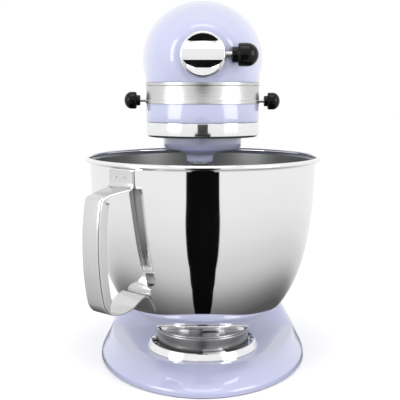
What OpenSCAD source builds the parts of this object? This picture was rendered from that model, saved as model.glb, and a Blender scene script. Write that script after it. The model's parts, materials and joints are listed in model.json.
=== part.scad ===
// Tilt-head stand mixer. Millimetres, +Z up, -Y is the front, +X is the viewer's right.
// The origin is the centre of the footprint on the table.

/* [Layout] */
// Distance from the origin forward to the bowl's axis
bowl_y = 67; // [66:0.5:68]
// Height of the head's horizontal axis
head_z = 294.5; // [294:0.1:295]
// Height of the hinge pin
hinge_z = 218; // [217.5:0.1:218]
// Hinge pin, measured back from the bowl's axis
hinge_d = 150; // [149:0.5:151]
// How far the head's rear reaches behind the bowl's axis
head_back = 247.5; // [246:0.5:248]

/* [Head] */
// Radius of the drip ring and of the gearcase's round front
nose_r = 52.7; // [52:0.1:53]
// Widest half width of the trim band
band_half = 56; // [55.5:0.1:56.5]
// Widest half width of the upper housing
dome_half = 59.5; // [59:0.1:60]
// Height of the upper housing above the head's axis
dome_rise = 58.5; // [58:0.1:59]
// Wall thickness of the head's castings
wall = 3; // [2.5:0.1:3.2]
// Lowest level of the gearcase
case_z = 236; // [236:0.1:236.2]
// Lower edge of the trim band
band_low = 253; // [252.5:0.1:253.5]
// Upper edge of the trim band
band_high = 272; // [271.5:0.1:272.5]

/* [Stand] */
// Half width of the base on the table
base_half = 103; // [102:0.5:104]
// Height of the flat top that carries the bowl
deck_z = 20; // [19.8:0.1:20.2]
// Height of the seam between base and pedestal
seam_z = 70; // [69:0.5:71]
// Radius of the hinge ears
ear_r = 17; // [16.5:0.1:17]
// Radius of the hinge pin
pin_r = 5; // [4.5:0.1:5.5]

/* [Bowl] */
// Radius of the centre of the rolled rim
rim_r = 108.3; // [108:0.1:108.3]
// Height of the centre of the rolled rim
rim_z = 202.2; // [202:0.1:202.6]
// Radius of the rolled rim's wire
roll_r = 2.2; // [2:0.1:2.2]
// Sheet thickness of the bowl
sheet = 1.2; // [1:0.1:1.4]
// Radius of the bowl's foot
foot_r = 44.5; // [44:0.1:45]
// Angle of the handle from the front, towards the viewer's left
handle_angle = 41; // [40:0.5:42]

/* [Drive] */
// Distance from the centre shaft to the beater shaft
orbit_r = 24; // [24:0.1:24]
// Radius of the beater shaft
beater_r = 6.35; // [6.2:0.05:6.4]
// Radius of the attachment socket
socket_r = 16; // [15.8:0.1:16.2]
// Height of the attachment socket's axis
hub_z = 295.3; // [295:0.1:295.5]

/* [Hidden] */
$fn = 64;

paint = [0.80, 0.81, 0.93];
steel = [0.75, 0.76, 0.77];
bright = [0.90, 0.90, 0.91];
black = [0.06, 0.06, 0.07];
copper = [0.72, 0.45, 0.25];
cast = [0.55, 0.56, 0.58];
nylon = [0.88, 0.86, 0.78];

// Clearance all round a shaft or screw in its hole
fit = 0.05;

// Everything but the origin is drawn about the bowl's axis.
module placed() {
    translate([0, -bowl_y, 0]) children();
}

// A solid of revolution about a line parallel to Y, drawn from y = from with its own +Z along +Y.
module along_y(x, from, z) {
    translate([x, from, z]) rotate([-90, 0, 0]) children();
}

// The same along +X.
module along_x(from, y, z) {
    translate([from, y, z]) rotate([0, 90, 0]) children();
}

module tube(outer, inner, length) {
    difference() {
        cylinder(r = outer, h = length);
        translate([0, 0, -1]) cylinder(r = inner, h = length + 2);
    }
}

// A superellipse quadrant: the share of the half width left at t of the half length.
function squircle(t, n) = pow(max(0, 1 - pow(min(1, abs(t)), n)), 1 / n);

/* ---- plan outline shared by the gearcase, the band and the upper housing's edge ---- */
swell_d = 75;
plan_power = 4.5;
plan_steps = 16;

// Half width of the head's plan outline at d behind the bowl's axis, inset by o.
function plan_half(d, o, back) =
    d <= 0 ? sqrt(max(0, pow(nose_r - o, 2) - d * d))
    : d < swell_d ? nose_r - o + (band_half - nose_r) * (1 - cos(180 * d / swell_d)) / 2
    : (band_half - o) * squircle((d - swell_d) / (back - o - swell_d), plan_power);

// Stations from the nose to the back, close together where the outline turns quickly.
function plan_stations(o, back) = concat(
    [for (i = [0:plan_steps]) -(nose_r - o) * cos(90 * i / plan_steps)],
    [for (i = [1:5]) swell_d * i / 5],
    [for (i = [1:plan_steps]) swell_d + (back - o - swell_d) * sin(90 * i / plan_steps)]
);

function plan_outline(o, back) =
    let (s = plan_stations(o, back), n = len(s))
    concat(
        [for (i = [0:n - 1]) [plan_half(s[i], o, back), s[i]]],
        [for (i = [n - 2:-1:1]) [-plan_half(s[i], o, back), s[i]]]
    );

cover_d = 214;
plan_back = 244;

// A vertical slab of the head's plan outline between two levels and two stations.
module plan_slab(o, low, high, front = -100, rear = cover_d) {
    intersection() {
        translate([0, 0, low]) linear_extrude(high - low) polygon(plan_outline(o, plan_back));
        translate([-100, front, low - 1]) cube([200, rear - front, high - low + 2]);
    }
}

/* ---- the upper housing's surface, as level rings ---- */
dome_d = 75;
dome_front = -54;
width_power = 2.7;
rise_power = 2.3;
tail_power = 4;

// How much of its full width or height the housing has at station d.
function dome_share(d, o, power) =
    d < dome_d ? squircle((dome_d - d) / (dome_d - dome_front - o), power)
    : squircle((d - dome_d) / (head_back - o - dome_d), tail_power);

// Front and back limits of the level ring at height h above the head's axis.
function level_share(h, o) = min(1, h / (dome_rise - o));
function level_front(h, o) =
    dome_d - (dome_d - dome_front - o) * squircle(level_share(h, o), rise_power);
function level_back(h, o) =
    dome_d + (head_back - o - dome_d) * squircle(level_share(h, o), tail_power);

// Half width above the axis: elliptical across, tapered along.
function over_half(d, h, o) =
    let (rise = (dome_rise - o) * dome_share(d, o, rise_power))
    rise <= h ? 0 : (dome_half - o) * dome_share(d, o, width_power) * sqrt(1 - pow(h / rise, 2));

// Below the axis the housing narrows to the plan outline at the band; u is 0 at the axis.
function under_half(t, u, o) =
    let (
        d = dome_front + o + t * (head_back - dome_front - 2 * o),
        e = -nose_r + o + t * (plan_back + nose_r - 2 * o),
        wide = (dome_half - o) * dome_share(d, o, width_power),
        narrow = plan_half(e, o, plan_back)
    )
    wide * (1 - u * u) + narrow * u * u;

ring_steps = 20;
function level_ring(z, o) =
    let (
        above = z >= head_z,
        h = z - head_z,
        u = above ? 0 : (head_z - z) / (head_z - band_high),
        front = above ? level_front(h, o) : (dome_front + o) * (1 - u * u) + (o - nose_r) * u * u,
        back = above ? level_back(h, o) : (head_back - o) * (1 - u * u) + (plan_back - o) * u * u,
        ts = [for (i = [0:ring_steps]) (1 - cos(180 * i / ring_steps)) / 2],
        half = [for (t = ts) above ? over_half(front + t * (back - front), h, o) : under_half(t, u, o)]
    )
    concat(
        [for (i = [0:ring_steps]) [half[i], front + ts[i] * (back - front), z]],
        [for (i = [ring_steps - 1:-1:1]) [-half[i], front + ts[i] * (back - front), z]]
    );

// A closed solid through rings of equal length, each a ring of points.
module loft(rings) {
    n = len(rings[0]);
    m = len(rings);
    points = [for (ring = rings) for (p = ring) p];
    sides = [
        for (j = [0:m - 2]) for (i = [0:n - 1]) for (k = [0, 1])
            k == 0 ? [j * n + (i + 1) % n, j * n + i, (j + 1) * n + i]
            : [(j + 1) * n + (i + 1) % n, j * n + (i + 1) % n, (j + 1) * n + i]
    ];
    bottom = [[for (i = [0:n - 1]) i]];
    top = [[for (i = [n - 1:-1:0]) (m - 1) * n + i]];
    polyhedron(points, concat(bottom, sides, top), convexity = 6);
}

// A hollow casting, open at its lowest level: outer rings, inner rings, and the rim between them.
module shell_loft(outer, inner) {
    n = len(outer[0]);
    m = len(outer);
    q = len(inner);
    points = concat([for (ring = outer) for (p = ring) p], [for (ring = inner) for (p = ring) p]);
    function down(a, i) = [[a + i, a + (i + 1) % n, a + n + i],
                           [a + (i + 1) % n, a + n + (i + 1) % n, a + n + i]];
    function up(a, i) = [[a + (i + 1) % n, a + i, a + n + i],
                         [a + n + (i + 1) % n, a + (i + 1) % n, a + n + i]];
    w = m * n;
    faces = concat(
        [for (j = [0:m - 2]) for (i = [0:n - 1]) for (f = up(j * n, i)) f],
        [for (j = [0:q - 2]) for (i = [0:n - 1]) for (f = down(w + j * n, i)) f],
        [for (i = [0:n - 1]) for (f = [[w + i, i, (i + 1) % n], [w + i, (i + 1) % n, w + (i + 1) % n]]) f],
        [[for (i = [n - 1:-1:0]) (m - 1) * n + i]],
        [[for (i = [0:n - 1]) w + (q - 1) * n + i]]
    );
    polyhedron(points, faces, convexity = 8);
}

/* ---- base and pedestal levels: height, front, back, half width, widest station, front power ---- */
deck_rear = 58;
base_levels = [
    [1, -91, 232, base_half, 50, 1.95],
    [5, -90.5, 232, base_half - 0.3, 50, 1.95],
    [9, -86, 231, base_half - 2.3, 58, 2],
    [13, -79, 229.5, base_half - 4.7, 68, 2.05],
    [16.5, -71, 227.5, base_half - 6.5, 76, 2.1],
    [19, -62, 225.5, base_half - 7.8, 83, 2.15],
    [deck_z - 0.1, -57, 225, base_half - 8.3, 90, 2.2],
    [deck_z, deck_rear, 224.8, base_half - 8.5, 90, 3.6],
    [23, 63, 223.5, base_half - 10.2, 93, 3.4],
    [27, 68, 222, base_half - 12.6, 96, 3.2],
    [33, 74, 220.5, base_half - 16, 99, 3.1],
    [41, 81, 219, base_half - 20.6, 103, 3],
    [51, 88, 217.5, base_half - 25.6, 108, 2.9],
    [60, 93.5, 216.5, base_half - 30, 113, 2.8],
    [seam_z, 98, 216, base_half - 34, 118, 2.7]
];
column_levels = [
    [seam_z, 98, 216, base_half - 34, 118, 2.7],
    [82, 102, 215, base_half - 38.5, 123, 2.6],
    [96, 105.5, 214, base_half - 43.5, 130, 2.6],
    [112, 109, 213, base_half - 48.5, 137, 2.6],
    [130, 111.5, 211.5, base_half - 52.5, 143, 2.6],
    [148, 113.5, 208.5, base_half - 55.3, 147, 2.6],
    [166, 115, 204.5, base_half - 57.3, 149, 2.7],
    [182, 116, 199, base_half - 58.6, 150, 2.8],
    [196, 117, 190.5, base_half - 59.3, 150, 3]
];
back_power = 2.1;
level_steps = 14;

function stand_ring(row, o, drop) =
    let (front = row[1] + o, back = row[2] - o, half = row[3] - o, mid = row[4], n = row[5])
    let (
        ahead = [for (i = [0:level_steps]) let (a = 90 * i / level_steps)
            [half * pow(sin(a), 2 / n), mid - (mid - front) * pow(cos(a), 2 / n)]],
        behind = [for (i = [1:level_steps]) let (a = 90 * i / level_steps)
            [half * pow(cos(a), 2 / back_power), mid + (back - mid) * pow(sin(a), 2 / back_power)]],
        side = concat(ahead, behind),
        k = len(side)
    )
    concat(
        [for (p = side) [p[0], p[1], row[0] - drop]],
        [for (i = [k - 2:-1:1]) [-side[i][0], side[i][1], row[0] - drop]]
    );

base_wall = 4;
// Each foot's place and the height of the boss above it.
foot_spots = [[0, -62, 10.5], [-74, 10, 10.5], [74, 10, 10.5], [-40, 182, 62], [40, 182, 62]];
foot_top = 5;
boss_under_r = 6;
bolt_spots = [[-52, 125], [52, 125], [-22, 190], [22, 190]];
bolt_r = 3;

module base_casting() {
    outer = [for (row = base_levels) stand_ring(row, 0, 0)];
    low = stand_ring(base_levels[0], base_wall, 0);
    under = [for (j = [3:len(base_levels) - 1]) stand_ring(base_levels[j], base_wall, base_wall)];
    inner = concat([low], under);
    color(paint) placed() {
        difference() {
            shell_loft(outer, inner);
            for (spot = bolt_spots) translate([spot[0], spot[1], seam_z - 10])
                cylinder(r = bolt_r + fit, h = 12);
            for (a = plate_screws) rotate(a) translate([plate_screw_circle, 0, deck_z - base_wall - 1])
                cylinder(r = plate_screw_r + fit, h = base_wall + 2);
        }
        for (spot = foot_spots) translate([spot[0], spot[1], foot_top])
            cylinder(r = boss_under_r, h = spot[2]);
    }
}

slot_half = 25;
slot_floor = 200.5;
ear_half = 44;

tilt_limit = 50;

// Side outline of the neck: level under the head, round over the pin, then sloped to let the head lean back.
module neck_outline() {
    slope = [cos(tilt_limit), -sin(tilt_limit)];
    tangent = [hinge_d, hinge_z] + ear_r * [sin(tilt_limit), cos(tilt_limit)];
    difference() {
        union() {
            translate([hinge_d, hinge_z]) circle(r = ear_r);
            polygon([
                [117, 190], [117, hinge_z + ear_r - 7], [118.5, hinge_z + ear_r - 2], [122, hinge_z + ear_r],
                [hinge_d, hinge_z + ear_r], tangent, tangent + 43 * slope, tangent + 43 * slope - [0, 6]
            ]);
        }
        translate([hinge_d, hinge_z]) circle(r = pin_r + fit);
    }
}

// The screw that pins the hinge pin, and the one that sets how low the head comes down.
set_screw_x = -34;
set_screw_r = 2;
adjust_d = 139;
adjust_r = 3;

module pedestal() {
    outer = [for (row = column_levels) stand_ring(row, 0, 0)];
    inner = [for (j = [0:len(column_levels) - 2]) stand_ring(column_levels[j], 6, 0)];
    neck_plan = stand_ring([0, 117, 196, ear_half, 150, 3.4], 0, 0);
    color(paint) placed() difference() {
        union() {
            shell_loft(outer, inner);
            intersection() {
                rotate([90, 0, 90]) translate([0, 0, -60]) linear_extrude(120) neck_outline();
                translate([0, 0, 189]) linear_extrude(60) polygon([for (q = neck_plan) [q[0], q[1]]]);
            }
            for (spot = bolt_spots) translate([spot[0], spot[1], seam_z]) cylinder(r = 9, h = 16);
        }
        translate([-slot_half, 100, slot_floor]) cube([2 * slot_half, 110, 60]);
        for (spot = bolt_spots) translate([spot[0], spot[1], seam_z - 1]) cylinder(r = bolt_r + fit, h = 14);
        translate([0, adjust_d, 180]) cylinder(r = adjust_r + fit, h = 30);
        translate([set_screw_x, hinge_d, 180]) cylinder(r = set_screw_r + fit, h = hinge_z - 183);
    }
}

module rubber_feet() {
    color(black) placed() for (spot = foot_spots)
        translate([spot[0], spot[1], 0]) rotate_extrude()
            polygon([[0, 0], [10, 0], [11, 1], [11, 4], [10, foot_top], [0, foot_top]]);
}

module pedestal_bolts() {
    color(steel) placed() for (spot = bolt_spots) translate([spot[0], spot[1], seam_z - base_wall]) {
        cylinder(r = bolt_r, h = 15);
        translate([0, 0, -4]) cylinder(r = 5.5, h = 4, $fn = 6);
    }
}

/* ---- bowl clamp and hinge hardware ---- */
plate_r = 53;
plate_top = 27;
tab_count = 3;
plate_screws = [for (i = [0:2]) 90 + 120 * i];
plate_screw_circle = 30;
plate_screw_r = 1.9;

module bowl_clamp_plate() {
    color(bright) placed() {
        difference() {
            rotate_extrude() polygon([
                [0, deck_z], [plate_r, deck_z], [plate_r, deck_z + 1], [50.8, plate_top - 0.6],
                [50.3, plate_top], [49.4, plate_top], [49, plate_top - 0.5], [49, deck_z + 2], [0, deck_z + 2]
            ]);
            for (a = plate_screws) rotate(a) translate([plate_screw_circle, 0, deck_z - 1])
                cylinder(r = plate_screw_r + fit, h = 5);
        }
        for (i = [0:tab_count - 1]) rotate(120 * i - 90) intersection() {
            translate([0, 0, plate_top - 1.6]) tube(49.2, 45.3, 1.6);
            rotate_extrude(angle = 26) translate([40, plate_top - 3]) square([12, 6]);
        }
    }
}

module clamp_plate_screws() {
    color(steel) placed() for (a = plate_screws)
        rotate(a) translate([plate_screw_circle, 0, deck_z - base_wall]) {
        cylinder(r = plate_screw_r, h = base_wall + 2);
        translate([0, 0, base_wall + 2]) cylinder(r = 3.6, h = 1.2);
    }
}

module hinge_pin() {
    color(steel) placed() along_x(-ear_half + 0.3, hinge_d, hinge_z)
        cylinder(r = pin_r, h = 2 * ear_half - 0.6);
}

module pin_set_screw() {
    color(steel) placed() translate([set_screw_x, hinge_d, hinge_z - ear_r - 3])
        cylinder(r = set_screw_r, h = ear_r + 3 - pin_r - fit);
}

module height_adjust_screw() {
    color(steel) placed() translate([0, adjust_d, 192]) cylinder(r = adjust_r, h = 12);
}

/* ---- head castings ---- */
dome_levels = [band_high, 277, 282, 287, 291, head_z, 299, 305, 311, 318, 325, 332, 338, 343, 347, 350, 352];
inner_levels = [band_high, 280, 287, head_z, 302, 311, 320, 328, 335, 341, 346, 348.5];
top_share = 0.996;
hub_from = -60;
socket_len = 30;
sleeve_r = 19.5;
knob_d = -56.5;
cap_d = 178;
motor_z = 292;

module dome_shell() {
    outer = concat([for (z = dome_levels) level_ring(z, 0)], [level_ring(head_z + dome_rise * top_share, 0)]);
    inner = concat([for (z = inner_levels) level_ring(z, wall)],
                   [level_ring(head_z + (dome_rise - wall) * top_share, wall)]);
    shell_loft(outer, inner);
}

module upper_housing() {
    color(paint) placed() difference() {
        union() {
            dome_shell();
            along_y(0, -50, hub_z) tube(hub_z - band_high - 0.1, 12, 16);
        }
        along_y(0, hub_from, hub_z) cylinder(r = sleeve_r + fit, h = 30);
        for (side = [-1, 1]) along_x(side * 50 - 12, cap_d, motor_z) cylinder(r = 7 + fit, h = 24);
        translate([-80, cover_d, 200]) cube([160, 60, 200]);
    }
}

module rear_cover() {
    color(paint) placed() difference() {
        union() {
            intersection() {
                dome_shell();
                translate([-80, cover_d + 0.4, 200]) cube([160, 60, 200]);
            }
            difference() {
                plan_slab(0, case_z, band_high, cover_d + 0.4, 260);
                plan_slab(wall, case_z + wall, band_high + 1, cover_d - 1, 260);
            }
        }
        for (i = [-3:3]) translate([i * 9 - 2, 216, case_z - 1]) cube([4, 14, 6]);
        along_y(0, 230, 262) cylinder(r = 2.1, h = 30);
        along_y(26, 226, 250) cylinder(r = 5 + fit, h = 30);
    }
}

band_recess = 1.3;
lug_half = 24.6;

module lower_gearcase() {
    color(paint) placed() difference() {
        union() {
            difference() {
                union() {
                    plan_slab(0, case_z, band_low);
                    plan_slab(band_recess, band_low, band_high);
                }
                plan_slab(band_recess + wall, case_z + wall, band_high + 1, -100, cover_d + 1);
            }
            along_x(-lug_half, hinge_d, hinge_z) cylinder(r = ear_r - 1, h = 2 * lug_half);
            translate([-lug_half, hinge_d - 12, hinge_z]) cube([2 * lug_half, 24, case_z - hinge_z + 1]);
        }
        along_x(-lug_half - 1, hinge_d, hinge_z) cylinder(r = pin_r + fit, h = 2 * lug_half + 2);
        translate([0, 0, case_z - 1]) cylinder(r = 12 + fit, h = wall + 2);
        lever_slots(-100);
        for (spot = drip_screws) translate([spot[0], spot[1], case_z - 1]) {
            cylinder(r = drip_screw_r, h = wall + 2);
            translate([0, 0, wall + 1]) cylinder(r = drip_head_r + fit, h = 3);
        }
    }
}

/* ---- levers: rods that run in slots under the band ---- */
speed_travel = 30;
lock_travel = 12;
lever_d = 4;
speed_z = 255.8;
lock_z = 255;
rod_r = 1.5;
module lever_slots(reach) {
    translate([reach, lever_d - 2.2, speed_z - 2]) cube([-10 - reach, speed_travel + 4.4, 4]);
    translate([40, lever_d - 2.2, lock_z - 2]) cube([60, lock_travel + 4.4, 4]);
}

bead = 2.6;
module band_profile(low, high, out) {
    difference() {
        plan_slab(out, low, high);
        plan_slab(band_recess, low - 1, high + 1, -100, cover_d + 1);
    }
}

module trim_band() {
    color(steel) placed() difference() {
        union() {
            band_profile(band_low, band_high, 0);
            band_profile(band_low + 0.2, band_low + bead, -0.5);
            band_profile(band_high - bead, band_high - 0.2, -0.5);
        }
        lever_slots(-100);
    }
}

drip_low = 222.5;
ring_bore = 46.5;
drip_screws = [for (a = [45, 135, 225, 315]) [48.6 * cos(a), 48.6 * sin(a)]];
drip_screw_r = 1.3;
drip_head_r = 2.2;

module drip_ring() {
    round_r = 3.2;
    color(bright) placed() difference() {
        rotate_extrude() polygon(concat(
            [[ring_bore, case_z], [ring_bore, drip_low + 1], [ring_bore + 1, drip_low]],
            [for (a = [0:18:90])
                [nose_r - round_r + round_r * sin(a), drip_low + round_r - round_r * cos(a)]],
            [[nose_r, case_z]]
        ));
        for (spot = drip_screws) translate([spot[0], spot[1], case_z - 9]) cylinder(r = drip_screw_r, h = 10);
    }
}

module housing_screws() {
    color(steel) placed() for (spot = drip_screws) translate([spot[0], spot[1], case_z - 8]) {
        cylinder(r = drip_screw_r, h = 8 + wall);
        translate([0, 0, 8 + wall]) cylinder(r = drip_head_r, h = 1.6);
    }
}

module rear_cover_screw() {
    color(steel) placed() along_y(0, 236, 262) {
        cylinder(r = 2, h = plan_back - 236);
        translate([0, 0, plan_back - 236]) cylinder(r = 3.6, h = 1.6);
    }
}

module cord_gland() {
    color(black) placed() along_y(26, 232, 250) tube(5, 3.4, 14);
}

module brush_caps() {
    color(black) placed() for (side = [-1, 1]) along_x(side > 0 ? 50 : -59.6, cap_d, motor_z) difference() {
        cylinder(r = 7, h = 9.6);
        translate([-0.8, -5, side > 0 ? 8.4 : -1]) cube([1.6, 10, 2.2]);
    }
}

/* ---- hub ---- */
cover_pin = [hub_from + 2.2, hub_z + 18];
module hub_sleeve() {
    color(bright) placed() difference() {
        along_y(0, hub_from, hub_z) cylinder(r = sleeve_r, h = 34);
        along_y(0, hub_from - 1, hub_z) cylinder(r = socket_r, h = socket_len + 1);
        along_y(0, hub_from, hub_z) cylinder(r = 6 + fit, h = 40);
        along_x(10, knob_d, hub_z) cylinder(r = 3 + fit, h = 12);
        translate([-4.3, hub_from - 1, hub_z + socket_r - 0.6]) cube([8.6, 5.6, 6]);
        along_x(-7, cover_pin[0], cover_pin[1]) cylinder(r = 0.8, h = 14);
    }
}

module hub_cover_pin() {
    color(steel) placed() along_x(-7, cover_pin[0], cover_pin[1]) cylinder(r = 0.8, h = 14);
}

cover_thick = 6;
module hub_cover() {
    face = hub_from - 0.3 - cover_thick;
    color(bright) placed() difference() {
        union() {
            along_y(0, face, hub_z) cylinder(r = sleeve_r, h = cover_thick);
            translate([-4, face + cover_thick - 1, cover_pin[1] - 1.4]) cube([8, 4.4, 2.8]);
        }
        intersection() {
            along_y(0, face - 1, hub_z) cylinder(r = 17.8, h = 6);
            translate([-20, face, hub_z]) rotate([90, 0, 90]) linear_extrude(40) {
                polygon([[-1, 4.7], [0, 4.7], [3.6, 11.2], [0.6, 18], [-1, 18]]);
                polygon([[-1, -4.7], [0, -4.7], [3.6, -11.2], [0.6, -18], [-1, -18]]);
            }
        }
        along_x(-6, cover_pin[0], cover_pin[1]) cylinder(r = 0.8 + fit, h = 12);
    }
}

module attachment_knob_screw() {
    color(steel) placed() along_x(socket_r + 0.3, knob_d, hub_z) cylinder(r = 3, h = 14);
}

module attachment_knob() {
    color(black) placed() along_x(25, knob_d, hub_z) difference() {
        rotate_extrude() polygon(concat(
            [[0, 0], [6.4, 0], [6.9, 0.5], [6.9, 5], [9.4, 5.4], [10.1, 6.2], [10.1, 13]],
            [for (a = [15:15:90]) [10.1 * cos(a), 13 + 10 * sin(a)]]
        ));
        translate([0, 0, -1]) cylinder(r = 3, h = 1 + socket_r + 14.3 - 25);
    }
}

// A ball knob with a collar, drawn along +Z from the collar's face.
module lever_knob(hole_depth) {
    difference() {
        rotate_extrude() polygon(concat(
            [[0, 0], [4.6, 0], [5, 0.5], [5, 3.2], [7.3, 3.6], [8, 4.4], [8, 8.5]],
            [for (a = [15:15:90]) [8 * cos(a), 8.5 + 6.5 * sin(a)]]
        ));
        translate([0, 0, -1]) cylinder(r = rod_r, h = hole_depth + 1);
    }
}
lever_out = 58.5;

module speed_lever_knob() {
    color(black) placed() translate([-lever_out, lever_d, speed_z]) rotate([0, -90, 0]) lever_knob(6);
}

module lock_lever_knob() {
    color(black) placed() along_x(lever_out - 1, lever_d, lock_z) lever_knob(6);
}

module speed_lever_rod() {
    color(steel) placed() {
        along_x(-lever_out - 6, lever_d, speed_z) cylinder(r = rod_r, h = 22);
        translate([-44, lever_d - 3, speed_z - 4]) cube([2, 40, 8]);
    }
}

module lock_lever_rod() {
    color(steel) placed() {
        along_x(43, lever_d, lock_z) cylinder(r = rod_r, h = lever_out - 1 + 6 - 43);
        translate([42, lever_d - 3, lock_z - 4]) cube([2, 20, 8]);
    }
}

/* ---- motor ---- */
bearing_r = 11;
shaft_r = 4;
front_bearing_d = 86;
rear_bearing_d = 200;

module motor_stator() {
    color(cast) placed() along_y(0, 118, motor_z) difference() {
        cylinder(r = 40, h = 42);
        translate([0, 0, -1]) cylinder(r = 22.8, h = 44);
        for (side = [-1, 1]) translate([-18, side * 30 - 5, -1]) cube([36, 10, 44]);
    }
}

module stator_windings() {
    color(copper) placed() along_y(0, 112, motor_z) for (side = [-1, 1]) intersection() {
        translate([-17.7, side * 30 - 4.7, 0]) cube([35.4, 9.4, 54]);
        tube(39, 24.5, 54);
    }
}

// A plate across the housing, shaped to clear it all round, with a seat for a ball bearing.
module bearing_bracket(d, half) {
    difference() {
        intersection() {
            along_y(0, d, motor_z) cylinder(r = half, h = 4);
            translate([-half, d - 1, band_high + 1]) cube([2 * half, 8, 200]);
        }
        along_y(0, d - 1, motor_z) cylinder(r = bearing_r, h = 10);
    }
    along_y(0, d, motor_z) tube(bearing_r + 3, bearing_r, 8);
}

module front_bearing_bracket() {
    color(cast) placed() bearing_bracket(front_bearing_d, 53);
}

module rear_bearing_bracket() {
    color(cast) placed() bearing_bracket(rear_bearing_d, 46);
}

module motor_bearings() {
    color(steel) placed() for (d = [front_bearing_d, rear_bearing_d])
        along_y(0, d, motor_z) tube(bearing_r, shaft_r + fit, 8);
}

module brush_holders() {
    color([0.78, 0.62, 0.30]) placed() for (side = [-1, 1])
        along_x(side * 32.5 - 16, cap_d, motor_z) tube(5, 3.5, 32);
}

module carbon_brushes() {
    color([0.12, 0.12, 0.12]) placed() for (side = [-1, 1])
        along_x(side * 22.5 - 8.2, cap_d, motor_z) cylinder(r = 3.4, h = 16.4);
}

module speed_control_board() {
    color([0.16, 0.38, 0.24]) placed() {
        translate([-40, 55, case_z + wall + 1]) cube([30, 46, 1.6]);
        for (i = [0:3]) translate([-38 + 7 * i, 60 + 6 * (i % 2), case_z + wall + 2.6]) cube([5, 10, 5]);
    }
}

module cooling_fan() {
    color(black) placed() along_y(0, 98, motor_z) {
        tube(9, shaft_r + 0.2, 10);
        tube(34, 8.8, 1.5);
        for (i = [0:11]) rotate(30 * i) translate([8.5, -0.8, 1]) cube([25, 1.6, 9]);
    }
}

module armature_core() {
    color(cast) placed() along_y(0, 118, motor_z) difference() {
        cylinder(r = 22, h = 42);
        translate([0, 0, -1]) cylinder(r = shaft_r + 0.2, h = 44);
        for (i = [0:11]) rotate(30 * i) translate([18.5, -1, -1]) cube([5, 2, 44]);
    }
}

module commutator() {
    color(copper) placed() along_y(0, 168, motor_z) difference() {
        cylinder(r = 14, h = 22);
        translate([0, 0, -1]) cylinder(r = shaft_r + 0.2, h = 24);
        for (i = [0:15]) rotate(22.5 * i) translate([12.6, -0.3, -1]) cube([3, 0.6, 24]);
    }
}

/* ---- gears ---- */
// Trapezoid teeth with plenty of backlash; tooth 0 is centred on +X.
spur_module = 1.5;
function gear_outline(teeth, m, out, into, tip = 0.13, root = 0.30) =
    let (pitch = 360 / teeth, r = teeth * m / 2)
    [for (i = [0:teeth - 1]) for (k = [[-root, -into], [-tip, out], [tip, out], [root, -into]])
        let (a = pitch * (i + k[0]), q = r + k[1] * m) [q * cos(a), q * sin(a)]];

center_teeth = 52;
pinion_teeth = 30;
worm_teeth = 40;
ring_teeth = 50;
planet_teeth = 18;
wheel_x = 26;
center_distance = (center_teeth + pinion_teeth) * spur_module / 2;
wheel_d = sqrt(center_distance * center_distance - wheel_x * wheel_x);
mesh_angle = atan2(wheel_d, wheel_x);
worm_lead = PI;
worm_pitch_r = 6;
wheel_pitch_r = wheel_x - worm_pitch_r;

module motor_shaft() {
    thread_turns = 9;
    color(steel) placed() {
        along_y(0, wheel_d + worm_lead * thread_turns / 2, motor_z)
            cylinder(r = shaft_r, h = rear_bearing_d + 10 - wheel_d - worm_lead * thread_turns / 2);
        along_y(0, wheel_d - worm_lead * thread_turns / 2 - 2, motor_z)
            cylinder(r = 4.9, h = worm_lead * thread_turns + 4);
        along_y(0, wheel_d - worm_lead * thread_turns / 2, motor_z) worm_thread(thread_turns);
    }
}

// A right-hand thread whose ridge crosses +X at the middle of its length.
module worm_thread(turns) {
    per_turn = 16;
    steps = turns * per_turn;
    start = -360 * turns / 2;
    section = [[4.4, -0.62], [6.6, -0.3], [6.6, 0.3], [4.4, 0.62]];
    points = [for (i = [0:steps]) for (c = section)
        let (a = start + 360 * i / per_turn, z = worm_lead * i / per_turn + c[1])
        [c[0] * cos(a), c[0] * sin(a), z]];
    sides = [for (i = [0:steps - 1]) for (k = [0:3]) for (t = [0, 1])
        let (p = 4 * i + k, q = 4 * i + (k + 1) % 4)
        t == 0 ? [p, q, p + 4] : [q, q + 4, p + 4]];
    polyhedron(points, concat([[3, 2, 1, 0]], sides, [[for (k = [0:3]) 4 * steps + k]]), convexity = 10);
}

module worm_wheel() {
    color(nylon) placed() translate([wheel_x, wheel_d, motor_z - 2.5]) difference() {
        rotate(180 + 180 / worm_teeth) linear_extrude(5) polygon(gear_outline(worm_teeth, 1, 0.75, 1.1));
        translate([0, 0, -1]) cylinder(r = 5, h = 7);
    }
}

module worm_wheel_shaft() {
    color(steel) placed() translate([wheel_x, wheel_d, case_z + wall + 1.2]) cylinder(r = 5, h = 60);
}

pinion_z = 256;
module drive_pinion() {
    color(steel) placed() translate([wheel_x, wheel_d, pinion_z]) difference() {
        rotate(mesh_angle + 180 + 180 / pinion_teeth) linear_extrude(10)
            polygon(gear_outline(pinion_teeth, spur_module, 0.8, 1.1));
        translate([0, 0, -1]) cylinder(r = 5, h = 12);
    }
}

module gear_bearing_block() {
    color(cast) placed() {
        translate([wheel_x, wheel_d, case_z + wall]) difference() {
            cylinder(r = 10, h = pinion_z - case_z - wall - 1);
            translate([0, 0, 1]) cylinder(r = 5 + fit, h = 30);
        }
    }
}

module center_gear() {
    color(steel) placed() translate([0, 0, pinion_z + 1]) difference() {
        rotate(mesh_angle) linear_extrude(8) polygon(gear_outline(center_teeth, spur_module, 0.8, 1.1));
        translate([0, 0, -1]) cylinder(r = 8, h = 10);
        for (i = [0:5]) rotate(60 * i) translate([22, 0, -1]) cylinder(r = 7, h = 10);
    }
}

center_bevel_teeth = 36;
hub_bevel_teeth = 24;
bevel_m = 4 / 3;
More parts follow.
